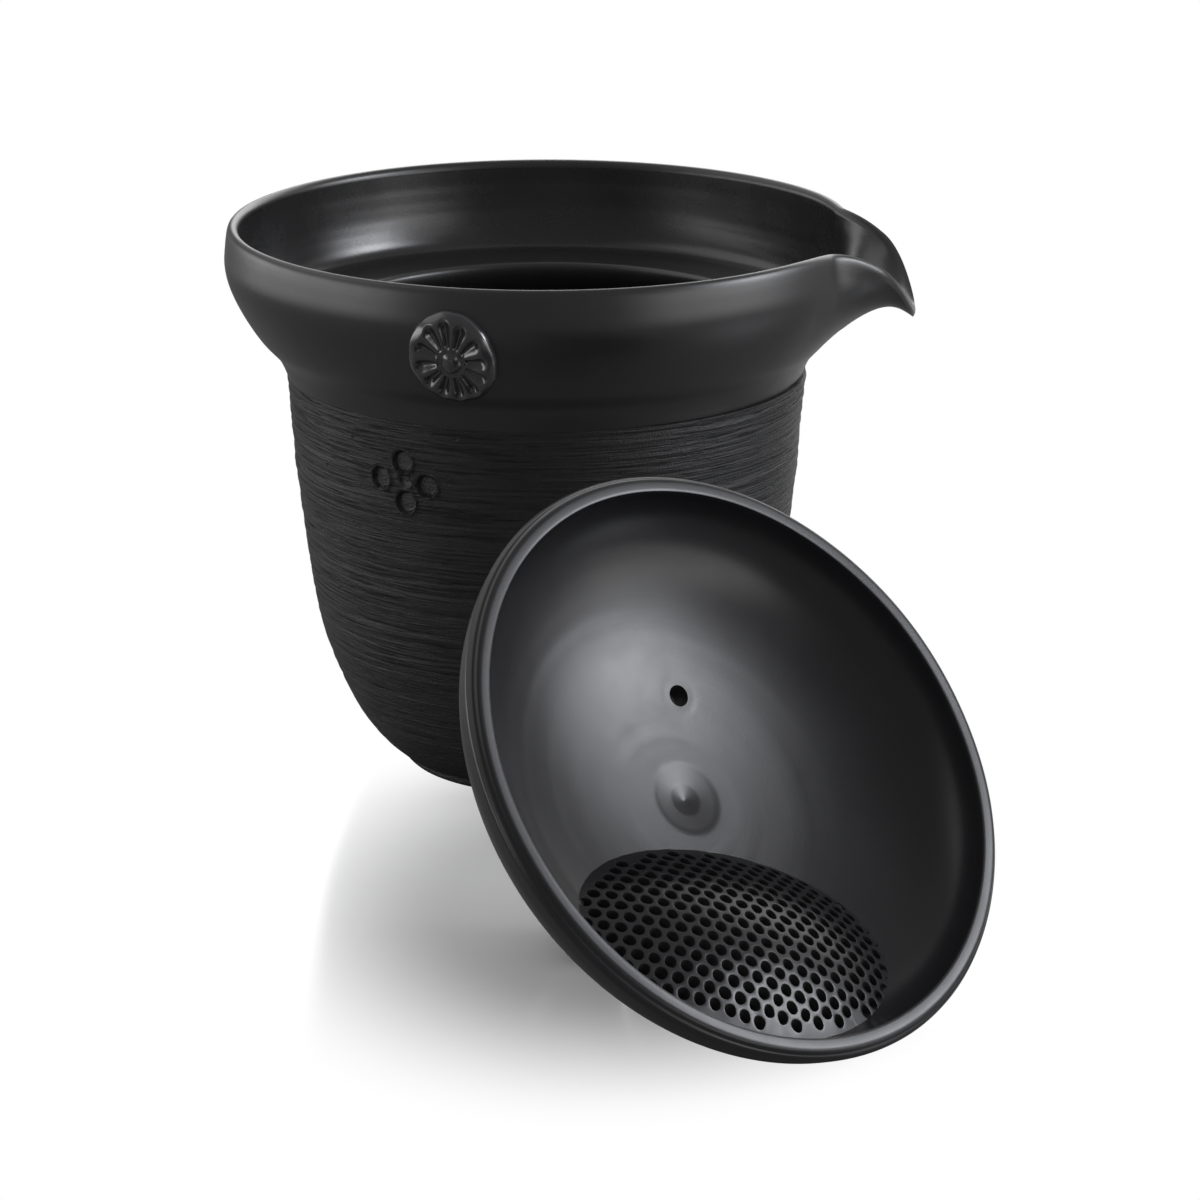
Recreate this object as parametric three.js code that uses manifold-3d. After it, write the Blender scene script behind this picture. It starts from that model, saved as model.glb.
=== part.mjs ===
// A small handle-less teapot of burnished black clay, with its strainer lid lying upturned in front of it.
// Millimetres, +Z up. The origin is the middle of the whole footprint, on the surface that it stands on.
import * as THREE from 'three';
import { mergeVertices } from 'three/addons/utils/BufferGeometryUtils.js';
import Module from 'manifold-3d';

const wasm = await Module();
wasm.setup();

// Driving dimensions of the pot, with its axis at x = y = 0
const FOOT_HEIGHT = 2;
const FOOT_RADIUS = 24;
const FOOT_RECESS_RADIUS = 18.5;
const BODY_BASE_RADIUS = 25;
const BODY_SHOULDER_RADIUS = 41.1;
const BODY_FLOOR_Z = 6.4;
const CLAY = 3;
const JOINT_Z = 65.6;
const JOINT_RADIUS = 41.8;
const SEAT_Z = 74.7;
const SEAT_RADIUS = 44.9;
const THROAT_RADIUS = 35.6;
const RIM_Z = 89.7;
const RIM_RADIUS = 50.2;
const RIM_THICKNESS = 2.4;
const POT_SEGMENTS = 64;

// Driving dimensions of the pulled beak. The powers shape its mouth seen from above and from the side, and
// the growths say how its pull fades from the rim down to its root.
const BEAK_AZIMUTH = THREE.MathUtils.degToRad(-6);
const BEAK_HALF_ANGLE = THREE.MathUtils.degToRad(16.9);
const BEAK_REACH = 59.9;
const BEAK_DROP = 13.2;
const BEAK_ROOT_Z = 72;
const BEAK_SADDLE = 3.3;
const BEAK_SADDLE_SPREAD = 0.94;
const BEAK_LENGTH_POWER = 0.65;
const BEAK_WIDTH_POWER = 1.5;
const BEAK_DROP_POWER = 2.2;
const BEAK_SOFTNESS = 0.22;
const BEAK_REACH_GROWTH = 1.2;
const BEAK_INNER_DROP_GROWTH = 2.5;
const BEAK_OUTER_DROP_GROWTH = 1.8;
const BEAK_OUTER_DROP_GAIN = 1.2;
const BEAK_OUTER_DROP_MOST = 1.07;
const BEAK_CROWDING = 0.5;

// Driving dimensions of the medallion, pressed onto the collar's belly
const MEDALLION_AZIMUTH = THREE.MathUtils.degToRad(-105.3);
const MEDALLION_Z = 78.6;
const MEDALLION_HALF_WIDTH = 7;
const MEDALLION_HALF_HEIGHT = 8.2;
const MEDALLION_PETALS = 12;
const GAP = 0.3;

// Driving dimensions of the lid, in its own frame: z = 0 is the lip's plane, +z points out of the dish
const LID_RADIUS = 44.4;
const LIP_INNER_RADIUS = 41.4;
const LIP_OUTER_RADIUS = 43.5;
const DISH_DEPTH = 15.9;
const DOME_DEPTH = 19;
const DISH_POWER = 2.2;
const LID_SEGMENTS = 60;
const DIMPLE_RADIUS = 5.2;
const DIMPLE_DEPTH = 0.75;
const VENT_RADIUS = 1.6;
const VENT_X = -14.7;
const VENT_Y = 7.8;
const KNOB_RADIUS = 12.5;
const KNOB_NECK_RADIUS = 5.2;
const KNOB_BASE_RADIUS = 7.2;
const KNOB_OVAL = 0.7;

// Driving dimensions of the strainer, a bulged plate that crosses the dish on a slant
const STRAINER_TILT = THREE.MathUtils.degToRad(-20.7);
const STRAINER_AZIMUTH = THREE.MathUtils.degToRad(-19.7);
const STRAINER_DISTANCE = 17.2;
const STRAINER_CENTRE = 18;
const STRAINER_HALF_LENGTH = 25.2;
const STRAINER_HALF_WIDTH = 16.4;
const STRAINER_THICKNESS = 1.5;
const STRAINER_BULGE = 4.2;
const STRAINER_MARGIN = 1.2;
const STRAINER_CLEARANCE = 0.2;
const HOLE_PITCH = 2.36;
const HOLE_RADIUS = 0.85;
const HOLE_SIDES = 4;
const HOLE_ROWS_ANGLE = THREE.MathUtils.degToRad(39.5);
const WINDOW_HALF_LENGTH = 20;
const WINDOW_HALF_WIDTH = 12;

// How the lid lies: tilted about its rim, resting on that rim and on its knob
const LID_TILT = THREE.MathUtils.degToRad(51);
const LID_AZIMUTH = THREE.MathUtils.degToRad(-45.9);
const LID_X = 29.1;
const LID_Y = -109.7;

function clay(name, color, roughness) {
  return new THREE.MeshStandardMaterial({ name, color, roughness, metalness: 0 });
}

const brushedClay = clay('brushed_clay', 0x1d1d1e, 0.75);
const burnishedClay = clay('burnished_clay', 0x222224, 0.4);
const glossyClay = clay('glossy_clay', 0x26262a, 0.3);

const point = (r, z) => new THREE.Vector2(r, z);
const spline = (points, steps) => new THREE.SplineCurve(points).getPoints(steps);

// Turns a profile of (radius, height) about Z. Outer walls run upwards and inner walls downwards.
function turned(profile, segments) {
  return new THREE.LatheGeometry(profile, segments).rotateX(Math.PI / 2);
}

function toSolid(geometry) {
  const bare = geometry.clone();
  bare.deleteAttribute('normal');
  bare.deleteAttribute('uv');
  const merged = mergeVertices(bare, 1e-4);
  const solid = new wasm.Mesh({
    numProp: 3,
    vertProperties: new Float32Array(merged.attributes.position.array),
    triVerts: new Uint32Array(merged.index.array),
  });
  solid.merge();
  return new wasm.Manifold(solid);
}

function toGeometry(solid) {
  const { vertProperties, triVerts } = solid.getMesh();
  const geometry = new THREE.BufferGeometry();
  geometry.setAttribute('position', new THREE.BufferAttribute(vertProperties, 3));
  geometry.setIndex(new THREE.BufferAttribute(triVerts, 1));
  geometry.computeVertexNormals();
  return geometry;
}

function part(name, geometry, material) {
  const mesh = new THREE.Mesh(geometry, material);
  mesh.name = name;
  return mesh;
}

// The body's outer wall, from its base to the joint under the collar
const bodyWall = [
  point(BODY_BASE_RADIUS, FOOT_HEIGHT),
  point(28.2, 5),
  point(31.9, 10.3),
  point(35.6, 19),
  point(37.8, 27.4),
  point(40.1, 44.4),
  point(BODY_SHOULDER_RADIUS, 55),
  point(JOINT_RADIUS, JOINT_Z),
];

function potBody() {
  const outer = spline(bodyWall, 14);
  const inner = spline(bodyWall.slice(2), 9).map((p) => point(p.x - CLAY, p.y)).reverse();
  const floor = [point(24.5, BODY_FLOOR_Z), point(0, BODY_FLOOR_Z)];
  return turned([point(0, FOOT_HEIGHT), ...outer, ...inner, ...floor], POT_SEGMENTS);
}

function footRing() {
  return turned([
    point(FOOT_RECESS_RADIUS, FOOT_HEIGHT - 0.01),
    point(FOOT_RECESS_RADIUS + 0.6, 0),
    point(FOOT_RADIUS - 0.8, 0),
    point(FOOT_RADIUS - 0.2, 0.6),
    point(FOOT_RADIUS, FOOT_HEIGHT - 0.01),
    point(FOOT_RECESS_RADIUS, FOOT_HEIGHT - 0.01),
  ], POT_SEGMENTS);
}

// The collar's outer wall, from the joint up to the belly and the rim
const collarWall = [
  point(JOINT_RADIUS, JOINT_Z + 0.01),
  point(43.4, 69),
  point(46.4, 72.4),
  point(49, 76.4),
  point(50.8, 80.2),
  point(51.4, 84),
  point(RIM_RADIUS + RIM_THICKNESS / 2 - 0.2, RIM_Z - 1.1),
];

// The bowl inside the collar, from the rim down to the seat that carries the lid
const bowlWall = [
  point(RIM_RADIUS - RIM_THICKNESS / 2 + 0.2, RIM_Z - 0.9),
  point(48.8, 85.4),
  point(48.4, 82),
  point(47.8, 79),
  point(46.6, 76),
  point(SEAT_RADIUS, SEAT_Z),
];

const collarOuter = spline(collarWall, 12);
const collarProfile = [
  ...collarOuter,
  point(RIM_RADIUS, RIM_Z),
  ...spline(bowlWall, 10),
  point(THROAT_RADIUS + 0.6, SEAT_Z),
  point(THROAT_RADIUS, SEAT_Z - 0.6),
  point(THROAT_RADIUS, SEAT_Z - 2.6),
  point(36.6, 70.4),
  point(JOINT_RADIUS - CLAY, JOINT_Z + 0.01),
  point(JOINT_RADIUS, JOINT_Z + 0.01),
];

// The rim's path at the beak, as an angle off the beak's middle. It follows the round rim, dips towards
// the beak, and then runs out and down as half of a superellipse.
function rawRim(angle) {
  const side = Math.sign(angle);
  const share = Math.abs(angle) / BEAK_HALF_ANGLE;
  const saddle = BEAK_SADDLE * Math.exp(-((share / BEAK_SADDLE_SPREAD) ** 2));
  if (share >= 1) {
    return new THREE.Vector3(RIM_RADIUS * Math.cos(angle), RIM_RADIUS * Math.sin(angle), RIM_Z - saddle);
  }
  const root = RIM_RADIUS * Math.cos(BEAK_HALF_ANGLE);
  const halfMouth = RIM_RADIUS * Math.sin(BEAK_HALF_ANGLE);
  const turn = share * Math.PI / 2;
  const out = Math.cos(turn);
  const x = root + (BEAK_REACH - root) * out ** BEAK_LENGTH_POWER;
  const y = side * halfMouth * Math.sin(turn) ** BEAK_WIDTH_POWER;
  const drop = (BEAK_DROP - BEAK_SADDLE) * out ** BEAK_DROP_POWER;
  return new THREE.Vector3(x, y, RIM_Z - saddle - drop);
}

// The same path with its corners softened by a short running mean
function rim(angle) {
  const steps = [-1, -0.5, 0, 0.5, 1];
  const sum = new THREE.Vector3();
  steps.forEach((step) => sum.add(rawRim(angle + step * BEAK_SOFTNESS * BEAK_HALF_ANGLE)));
  return sum.divideScalar(steps.length);
}

// How far the rim's path is pulled away from the round rim at one angle
function pull(angle) {
  const round = new THREE.Vector3(RIM_RADIUS * Math.cos(angle), RIM_RADIUS * Math.sin(angle), RIM_Z);
  return rim(angle).sub(round);
}

// Moves one point of the round collar to its place on the collar with the beak
function pulled(radius, height, angle, outside) {
  const level = THREE.MathUtils.clamp((height - BEAK_ROOT_Z) / (RIM_Z - BEAK_ROOT_Z), 0, 1);
  const reach = level ** BEAK_REACH_GROWTH;
  const outerDrop = Math.min(BEAK_OUTER_DROP_GAIN * level ** BEAK_OUTER_DROP_GROWTH, BEAK_OUTER_DROP_MOST);
  const drop = outside ? outerDrop : level ** BEAK_INNER_DROP_GROWTH;
  const centre = (a) => {
    const shift = pull(a);
    return point(RIM_RADIUS * Math.cos(a) + reach * shift.x, RIM_RADIUS * Math.sin(a) + reach * shift.y);
  };
  const step = 0.01;
  const along = centre(angle + step).sub(centre(angle - step)).normalize();
  const offset = radius - RIM_RADIUS;
  const middle = centre(angle);
  const x = middle.x + along.y * offset;
  const y = middle.y - along.x * offset;
  return new THREE.Vector3(x, y, height + drop * pull(angle).z);
}

function pouringCollar() {
  const geometry = turned(collarProfile, POT_SEGMENTS);
  const position = geometry.attributes.position;
  for (let i = 0; i < position.count; i += 1) {
    const onProfile = i % collarProfile.length;
    const x = position.getX(i);
    const y = position.getY(i);
    const even = Math.atan2(y, x);
    const angle = even - BEAK_CROWDING * Math.sin(even);
    const outside = onProfile <= collarOuter.length;
    const moved = pulled(Math.hypot(x, y), position.getZ(i), angle, outside);
    position.setXYZ(i, moved.x, moved.y, moved.z);
  }
  return geometry.rotateZ(BEAK_AZIMUTH);
}

// Wraps a flat ornament onto the collar: x runs round it, y up its wall, and z out of it
function wrapOnCollar(geometry, azimuth, height) {
  const wall = new THREE.SplineCurve(collarWall);
  wall.arcLengthDivisions = 400;
  const length = wall.getLength();
  let middle = 0;
  while (wall.getPointAt(middle).y < height) middle += 0.002;
  const position = geometry.attributes.position;
  for (let i = 0; i < position.count; i += 1) {
    const share = THREE.MathUtils.clamp(middle + position.getY(i) / length, 0.001, 0.999);
    const on = wall.getPointAt(share);
    const along = wall.getTangentAt(share);
    const radius = on.x + along.y * position.getZ(i);
    const z = on.y - along.x * position.getZ(i);
    const angle = azimuth + position.getX(i) / on.x;
    position.setXYZ(i, radius * Math.cos(angle), radius * Math.sin(angle), z);
  }
  return geometry;
}

function rosetteMedallion() {
  const puck = turned([
    point(0, GAP),
    point(0.3, GAP),
    point(0.6, GAP),
    point(0.9, GAP),
    point(1, 0.7),
    point(0.96, 1.3),
    point(0.86, 1.5),
    point(0.58, 1.1),
    point(0.28, 1.1),
    point(0.19, 1.8),
    point(0, 2.1),
  ], MEDALLION_PETALS * 4);
  const position = puck.attributes.position;
  for (let i = 0; i < position.count; i += 1) {
    const x = position.getX(i);
    const y = position.getY(i);
    const r = Math.hypot(x, y);
    const ridge = Math.cos(MEDALLION_PETALS * Math.atan2(y, x)) * 0.2;
    const onPetals = r > 0.25 && position.getZ(i) > 1 ? ridge : 0;
    position.setXYZ(i, x * MEDALLION_HALF_WIDTH, y * MEDALLION_HALF_HEIGHT, position.getZ(i) + onPetals);
  }
  return wrapOnCollar(puck, MEDALLION_AZIMUTH, MEDALLION_Z);
}

// Depth below the lip's plane of a hollow whose mouth has this radius, at a distance r from its axis
const hollow = (r, mouth, depth) => depth * (1 - Math.min(r / mouth, 1) ** DISH_POWER) ** (1 / DISH_POWER);

function hollowProfile(mouth, depth, fromRadius, toRadius, steps) {
  const profile = [];
  for (let i = 0; i <= steps; i += 1) {
    const turn = (i / steps) * Math.PI / 2;
    const r = mouth * Math.sin(turn) ** (2 / DISH_POWER);
    if (r >= fromRadius && r <= toRadius) profile.push(point(r, -hollow(r, mouth, depth)));
  }
  return profile;
}

const domeWall = hollowProfile(LID_RADIUS, DOME_DEPTH, KNOB_BASE_RADIUS + 1, LID_RADIUS - 0.05, 14);

function lidDome() {
  const dish = hollowProfile(LIP_INNER_RADIUS, DISH_DEPTH, DIMPLE_RADIUS + 1, LIP_INNER_RADIUS - 0.05, 13);
  const dimpleEdge = -hollow(DIMPLE_RADIUS, LIP_INNER_RADIUS, DISH_DEPTH);
  const profile = [
    point(0, -DOME_DEPTH),
    point(KNOB_BASE_RADIUS + 0.6, -DOME_DEPTH),
    ...domeWall,
    point(LID_RADIUS, -1.6),
    point(LIP_OUTER_RADIUS + 0.4, -0.4),
    point(LIP_OUTER_RADIUS, 0),
    point(LIP_INNER_RADIUS, 0),
    ...dish.reverse(),
    point(DIMPLE_RADIUS, dimpleEdge),
    point(DIMPLE_RADIUS * 0.84, dimpleEdge - DIMPLE_DEPTH * 0.16),
    point(DIMPLE_RADIUS * 0.45, dimpleEdge - DIMPLE_DEPTH * 0.45),
    point(0, dimpleEdge - DIMPLE_DEPTH),
  ];
  const vent = new THREE.CylinderGeometry(VENT_RADIUS, VENT_RADIUS, 30, 16).rotateX(Math.PI / 2);
  vent.translate(VENT_X, VENT_Y, -DISH_DEPTH);
  const pane = new THREE.CylinderGeometry(1, 1, 20, 32).rotateX(Math.PI / 2);
  pane.scale(WINDOW_HALF_WIDTH, WINDOW_HALF_LENGTH, 1).translate(0, 0, -10.5);
  const dome = toSolid(turned(profile, LID_SEGMENTS));
  return toGeometry(dome.subtract(toSolid(vent)).subtract(toSolid(placeOnStrainer(pane))));
}

// Moves a flat shape from the strainer's own plane, centred on it and facing +z, into the lid's frame
function placeOnStrainer(geometry) {
  geometry.translate(STRAINER_CENTRE, 0, -STRAINER_DISTANCE);
  return geometry.rotateY(STRAINER_TILT).rotateZ(STRAINER_AZIMUTH);
}

function strainerPlate() {
  const inside = (x, y, halfX, halfY) => (x / halfX) ** 2 + (y / halfY) ** 2 < 1;
  const blankX = STRAINER_HALF_WIDTH + 6;
  const blankY = STRAINER_HALF_LENGTH + 6;
  const outline = new THREE.Shape().absellipse(0, 0, blankX, blankY, 0, Math.PI * 2);
  const clearX = STRAINER_HALF_WIDTH - STRAINER_MARGIN - HOLE_RADIUS;
  const clearY = STRAINER_HALF_LENGTH - STRAINER_MARGIN - HOLE_RADIUS;
  const count = Math.ceil((2 * STRAINER_HALF_LENGTH) / HOLE_PITCH);
  for (let row = -count; row <= count; row += 1) {
    for (let column = -count; column <= count; column += 1) {
      const along = (column + row / 2) * HOLE_PITCH;
      const across = row * HOLE_PITCH * Math.sqrt(3) / 2;
      const x = along * Math.sin(HOLE_ROWS_ANGLE) + across * Math.cos(HOLE_ROWS_ANGLE);
      const y = across * Math.sin(HOLE_ROWS_ANGLE) - along * Math.cos(HOLE_ROWS_ANGLE);
      if (!inside(x, y, clearX, clearY)) continue;
      const hole = new THREE.Path();
      for (let side = 0; side < HOLE_SIDES; side += 1) {
        const turn = (side / HOLE_SIDES) * Math.PI * 2;
        const corner = point(x + HOLE_RADIUS * Math.cos(turn), y + HOLE_RADIUS * Math.sin(turn));
        if (side === 0) hole.moveTo(corner.x, corner.y);
        else hole.lineTo(corner.x, corner.y);
      }
      outline.holes.push(hole);
    }
  }
  const settings = { depth: STRAINER_THICKNESS, bevelEnabled: false, curveSegments: 24 };
  const plate = new THREE.ExtrudeGeometry(outline, settings);
  const position = plate.attributes.position;
  for (let i = 0; i < position.count; i += 1) {
    const across = position.getX(i) / STRAINER_HALF_WIDTH;
    const along = position.getY(i) / STRAINER_HALF_LENGTH;
    const bulge = STRAINER_BULGE * (1 - across ** 2 - along ** 2);
    position.setZ(i, position.getZ(i) - STRAINER_THICKNESS + bulge);
  }
  placeOnStrainer(plate);
  const mouth = LIP_INNER_RADIUS - STRAINER_CLEARANCE;
  const depth = DISH_DEPTH - STRAINER_CLEARANCE;
  const cavity = turned([
    point(0, -depth),
    ...hollowProfile(mouth, depth, 1, mouth - 0.05, 13),
    point(mouth, 0),
    point(0, 0),
  ], LID_SEGMENTS);
  return toGeometry(toSolid(plate).intersect(toSolid(cavity)));
}

// How far a ring of the lid reaches below the lip's centre, once the lid is tilted
const reachDown = (ring, span = 1) => ring.x * span * Math.sin(LID_TILT) - ring.y * Math.cos(LID_TILT);
const lipHeight = Math.max(...domeWall.map((ring) => reachDown(ring)));

// The knob is oval, its length in line with the strainer. This is its outline lengthwise, with its flared
// edge at z = 0 and its base towards +z, and its span in the direction that the lid leans.
const knobSpan = Math.hypot(Math.cos(STRAINER_AZIMUTH), KNOB_OVAL * Math.sin(STRAINER_AZIMUTH));
const knobEdge = [
  point(0, -1.4),
  point(5, -1.2),
  point(KNOB_RADIUS - 1.4, -0.6),
  point(KNOB_RADIUS, 0.8),
  point(KNOB_RADIUS - 0.4, 2),
];

function lidKnob() {
  const edgeReach = Math.max(...knobEdge.map((ring) => reachDown(ring, knobSpan)));
  const edgeDepth = (lipHeight - edgeReach) / Math.cos(LID_TILT);
  const base = edgeDepth - DOME_DEPTH - GAP;
  const neck = spline([
    point(8.6, 4.4),
    point(6, 9),
    point(KNOB_NECK_RADIUS, base * 0.56),
    point(KNOB_NECK_RADIUS + 0.5, base - 4),
    point(KNOB_BASE_RADIUS, base),
  ], 8);
  const knob = turned([...knobEdge, ...neck, point(0, base)], 36);
  return knob.scale(1, KNOB_OVAL, 1).rotateZ(STRAINER_AZIMUTH).translate(0, 0, -edgeDepth);
}

const pot = new THREE.Group();
pot.add(
  part('pot_body', potBody(), brushedClay),
  part('foot_ring', footRing(), brushedClay),
  part('pouring_collar', pouringCollar(), burnishedClay),
  part('rosette_medallion', rosetteMedallion(), glossyClay),
);

const lid = new THREE.Group();
lid.add(
  part('lid_dome', lidDome(), burnishedClay),
  part('strainer_plate', strainerPlate(), burnishedClay),
  part('lid_knob', lidKnob(), burnishedClay),
);
lid.position.set(LID_X, LID_Y, lipHeight);
lid.rotation.set(0, LID_TILT, LID_AZIMUTH, 'ZYX');

// The whole arrangement is centred over its footprint
const teapot = new THREE.Group();
teapot.add(pot, lid);
teapot.updateMatrixWorld(true);
const extent = new THREE.Box3().setFromObject(teapot, true);
const middle = extent.getCenter(new THREE.Vector3());
teapot.position.set(-middle.x, -middle.y, 0);

export default teapot;
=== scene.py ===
import math
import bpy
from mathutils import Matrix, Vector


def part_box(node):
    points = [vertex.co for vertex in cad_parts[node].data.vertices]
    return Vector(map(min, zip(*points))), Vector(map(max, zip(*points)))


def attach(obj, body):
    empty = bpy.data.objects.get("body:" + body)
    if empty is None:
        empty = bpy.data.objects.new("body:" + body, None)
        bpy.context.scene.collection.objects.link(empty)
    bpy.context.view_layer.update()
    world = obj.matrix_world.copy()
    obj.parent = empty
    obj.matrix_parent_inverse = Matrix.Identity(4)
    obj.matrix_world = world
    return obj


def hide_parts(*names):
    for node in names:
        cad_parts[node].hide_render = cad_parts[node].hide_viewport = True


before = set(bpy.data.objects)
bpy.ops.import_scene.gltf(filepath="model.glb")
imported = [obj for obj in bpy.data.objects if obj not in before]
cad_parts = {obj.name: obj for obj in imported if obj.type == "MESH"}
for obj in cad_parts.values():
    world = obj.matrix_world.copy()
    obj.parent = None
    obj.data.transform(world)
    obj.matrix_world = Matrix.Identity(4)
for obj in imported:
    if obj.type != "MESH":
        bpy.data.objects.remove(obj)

import types

import bmesh
import bpy
import numpy as np
from mathutils import Euler, Matrix, Vector

bl_info = {
    "name": "Handle-less clay teapot",
    "version": (1, 0, 0),
    "blender": (4, 5, 0),
    "location": "3D View > Sidebar > Teapot",
    "description": "Builds a black clay teapot, its strainer lid and a plain white stage",
    "category": "Add Mesh",
}

MM = 0.001
TAU = math.tau
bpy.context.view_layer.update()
BODY_LOW, BODY_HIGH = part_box("pot_body")
POT_X = (BODY_LOW.x + BODY_HIGH.x) / 2 / MM
POT_Y = (BODY_LOW.y + BODY_HIGH.y) / 2 / MM


# Sizes and colours that a user would change

def number(name, description, value, **rules):
    return bpy.props.FloatProperty(name=name, description=description, default=value, **rules)


def length(name, description, millimetres):
    return number(name, description, millimetres * MM, unit="LENGTH", subtype="DISTANCE", precision=5)


def angle(name, description, degrees):
    return number(name, description, math.radians(degrees), unit="ROTATION", subtype="ANGLE")


def share(name, description, value):
    return number(name, description, value, min=0.0, max=1.0, subtype="FACTOR")


def colour(name, description, value):
    return bpy.props.FloatVectorProperty(
        name=name, description=description, default=value, size=3, min=0.0, max=1.0, subtype="COLOR"
    )


class TeapotPotSizes(bpy.types.PropertyGroup):
    foot_height: length("Foot height", "Height of the trimmed foot ring", 2)
    foot_radius: length("Foot radius", "Outer radius of the foot ring", 24)
    recess_radius: length("Recess radius", "Inner radius of the foot ring", 18.5)
    base_radius: length("Base radius", "Radius of the body just above the foot", 25)
    shoulder_radius: length("Shoulder radius", "Radius of the body at its stamped rings", 41.1)
    joint_radius: length("Joint radius", "Radius where the collar joins the body", 41.8)
    joint_height: length("Joint height", "Height where the collar joins the body", 65.6)
    floor_height: length("Floor height", "Height of the floor inside the body", 6.4)
    clay: length("Clay thickness", "Thickness of the body's wall", 3)
    stamp_radius: length("Stamp radius", "Radius of one stamped ring", 1.75)
    stamp_depth: length("Stamp depth", "How deep the stamped rings are pressed", 0.62)


class TeapotCollarSizes(bpy.types.PropertyGroup):
    seat_height: length("Seat height", "Height of the ledge that carries the lid", 74.7)
    seat_radius: length("Seat radius", "Radius of the bowl at the ledge", 44.9)
    throat_radius: length("Throat radius", "Radius of the way down into the pot", 35.6)
    rim_height: length("Rim height", "Height of the rim", 89.7)
    rim_radius: length("Rim radius", "Radius of the middle of the rim's lip", 50.2)
    beak_azimuth: angle("Beak azimuth", "Where the beak is, round the pot", -6)
    beak_half_angle: angle("Beak half angle", "Half of the beak's share of the rim", 16.9)
    beak_reach: length("Beak reach", "How far the tip of the beak is from the pot's axis", 59.9)
    beak_drop: length("Beak drop", "How far the tip of the beak is below the rim", 13.2)
    beak_root_height: length("Beak root height", "Height where the beak leaves the collar", 72)
    beak_saddle: length("Beak saddle", "How far the rim dips beside the beak", 3.3)


class TeapotMedallionSizes(bpy.types.PropertyGroup):
    azimuth: angle("Azimuth", "Where the medallion is, round the pot", -105.3)
    height: length("Height", "Height of the medallion's middle", 78.6)
    half_width: length("Half width", "Half of the medallion's width", 7)
    half_height: length("Half height", "Half of the medallion's height", 8.2)
    petals: bpy.props.IntProperty(name="Petals", description="How many petals it has", default=12, min=3)


class TeapotLidSizes(bpy.types.PropertyGroup):
    radius: length("Lid radius", "Outer radius of the lid", 44.4)
    lip_inner: length("Inner lip radius", "Inner radius of the flat lip", 41.4)
    lip_outer: length("Outer lip radius", "Outer radius of the flat lip", 43.5)
    dish_depth: length("Dish depth", "Depth of the dish below the lip", 15.9)
    dome_depth: length("Dome depth", "Height of the dome from the lip to its top", 19)
    dimple_radius: length("Dimple radius", "Radius of the dimple in the middle of the dish", 5.5)
    dimple_x: length("Dimple X", "Place of the dimple across the lid", -0.3)
    dimple_y: length("Dimple Y", "Place of the dimple along the lid", 1.2)
    dimple_depth: length("Dimple depth", "Depth of the dimple", 0.75)
    vent_radius: length("Vent radius", "Radius of the steam vent", 1.6)
    vent_x: length("Vent X", "Place of the steam vent across the lid", -14.7)
    vent_y: length("Vent Y", "Place of the steam vent along the lid", 7.8)
    knob_radius: length("Knob radius", "Half length of the oval knob", 12.5)
    knob_neck: length("Knob neck", "Half length of the knob's neck", 5.2)
    knob_base: length("Knob base", "Half length of the knob's base", 7.2)
    knob_oval: share("Knob oval", "The knob's width as a share of its length", 0.7)
    place_x: length("Place X", "Where the lip's middle lies, from the pot's axis", 29.1)
    place_y: length("Place Y", "Where the lip's middle lies, from the pot's axis", -109.7)
    place_z: length("Place Z", "Height of the lip's middle", 37.109)
    lean: angle("Lean", "How far the lid leans over", 51)
    turn: angle("Turn", "Which way the lid leans", -45.9)


class TeapotStrainerSizes(bpy.types.PropertyGroup):
    tilt: angle("Tilt", "Slant of the strainer against the lip", -20.7)
    azimuth: angle("Azimuth", "Where the strainer is, round the lid", -19.7)
    distance: length("Distance", "How deep the strainer's plane is", 17.2)
    centre: length("Centre", "How far the strainer's middle is from the lid's axis", 18)
    half_length: length("Half length", "Half of the strainer's length", 25.2)
    half_width: length("Half width", "Half of the strainer's width", 16.4)
    thickness: length("Thickness", "Thickness of the strainer", 1.9)
    bulge: length("Bulge", "How far the strainer bulges in its middle", 4.2)
    pitch: length("Hole pitch", "Distance from one hole to the next", 2.36)
    hole_radius: length("Hole radius", "Radius of one hole", 0.87)
    uneven: length("Unevenness", "How far the holes stray from their rows", 0.16)
    rows_angle: angle("Rows angle", "Direction of the rows of holes", 39.5)


class TeapotFinishes(bpy.types.PropertyGroup):
    brushed: colour("Brushed clay", "Colour of the grooved body", (0.009, 0.009, 0.0098))
    burnished: colour("Burnished clay", "Colour of the collar and the knob", (0.009, 0.009, 0.0095))
    satin: colour("Satin clay", "Colour of the lid", (0.009, 0.009, 0.0105))
    glossy: colour("Glossy clay", "Colour of the medallion", (0.022, 0.022, 0.024))
    raw: colour("Raw clay", "Colour inside the holes", (0.006, 0.006, 0.006))
    brushed_roughness: share("Brushed roughness", "Roughness of the grooved body", 0.46)
    burnished_roughness: share("Burnished roughness", "Roughness of the collar", 0.36)
    satin_roughness: share("Satin roughness", "Roughness of the lid", 0.3)
    glossy_roughness: share("Glossy roughness", "Roughness of the medallion", 0.2)
    raw_roughness: share("Raw roughness", "Roughness inside the holes", 0.9)


class TeapotStage(bpy.types.PropertyGroup):
    floor: colour("Floor", "Colour of the floor", (0.93, 0.93, 0.93))
    floor_lights: share("Floor light", "How pale the floor is as a source of light", 0.18)
    shine: share("Shine", "How much the floor mirrors", 0.38)
    key: number("Key light", "Radiance of the soft light on the beak's side", 3.0, min=0.0)
    behind: number("Backdrop", "Level of the backdrop behind the object, in reflections", 2.6, min=0.0)
    beside: number("Side wall", "Level of the wall to the left, in reflections", 2.5, min=0.0)
    ambient: number("Ambient light", "Level of the light from all round", 0.95, min=0.0)
    lens: number("Lens", "Focal length of the camera in millimetres", 121.99, min=0.0)


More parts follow.
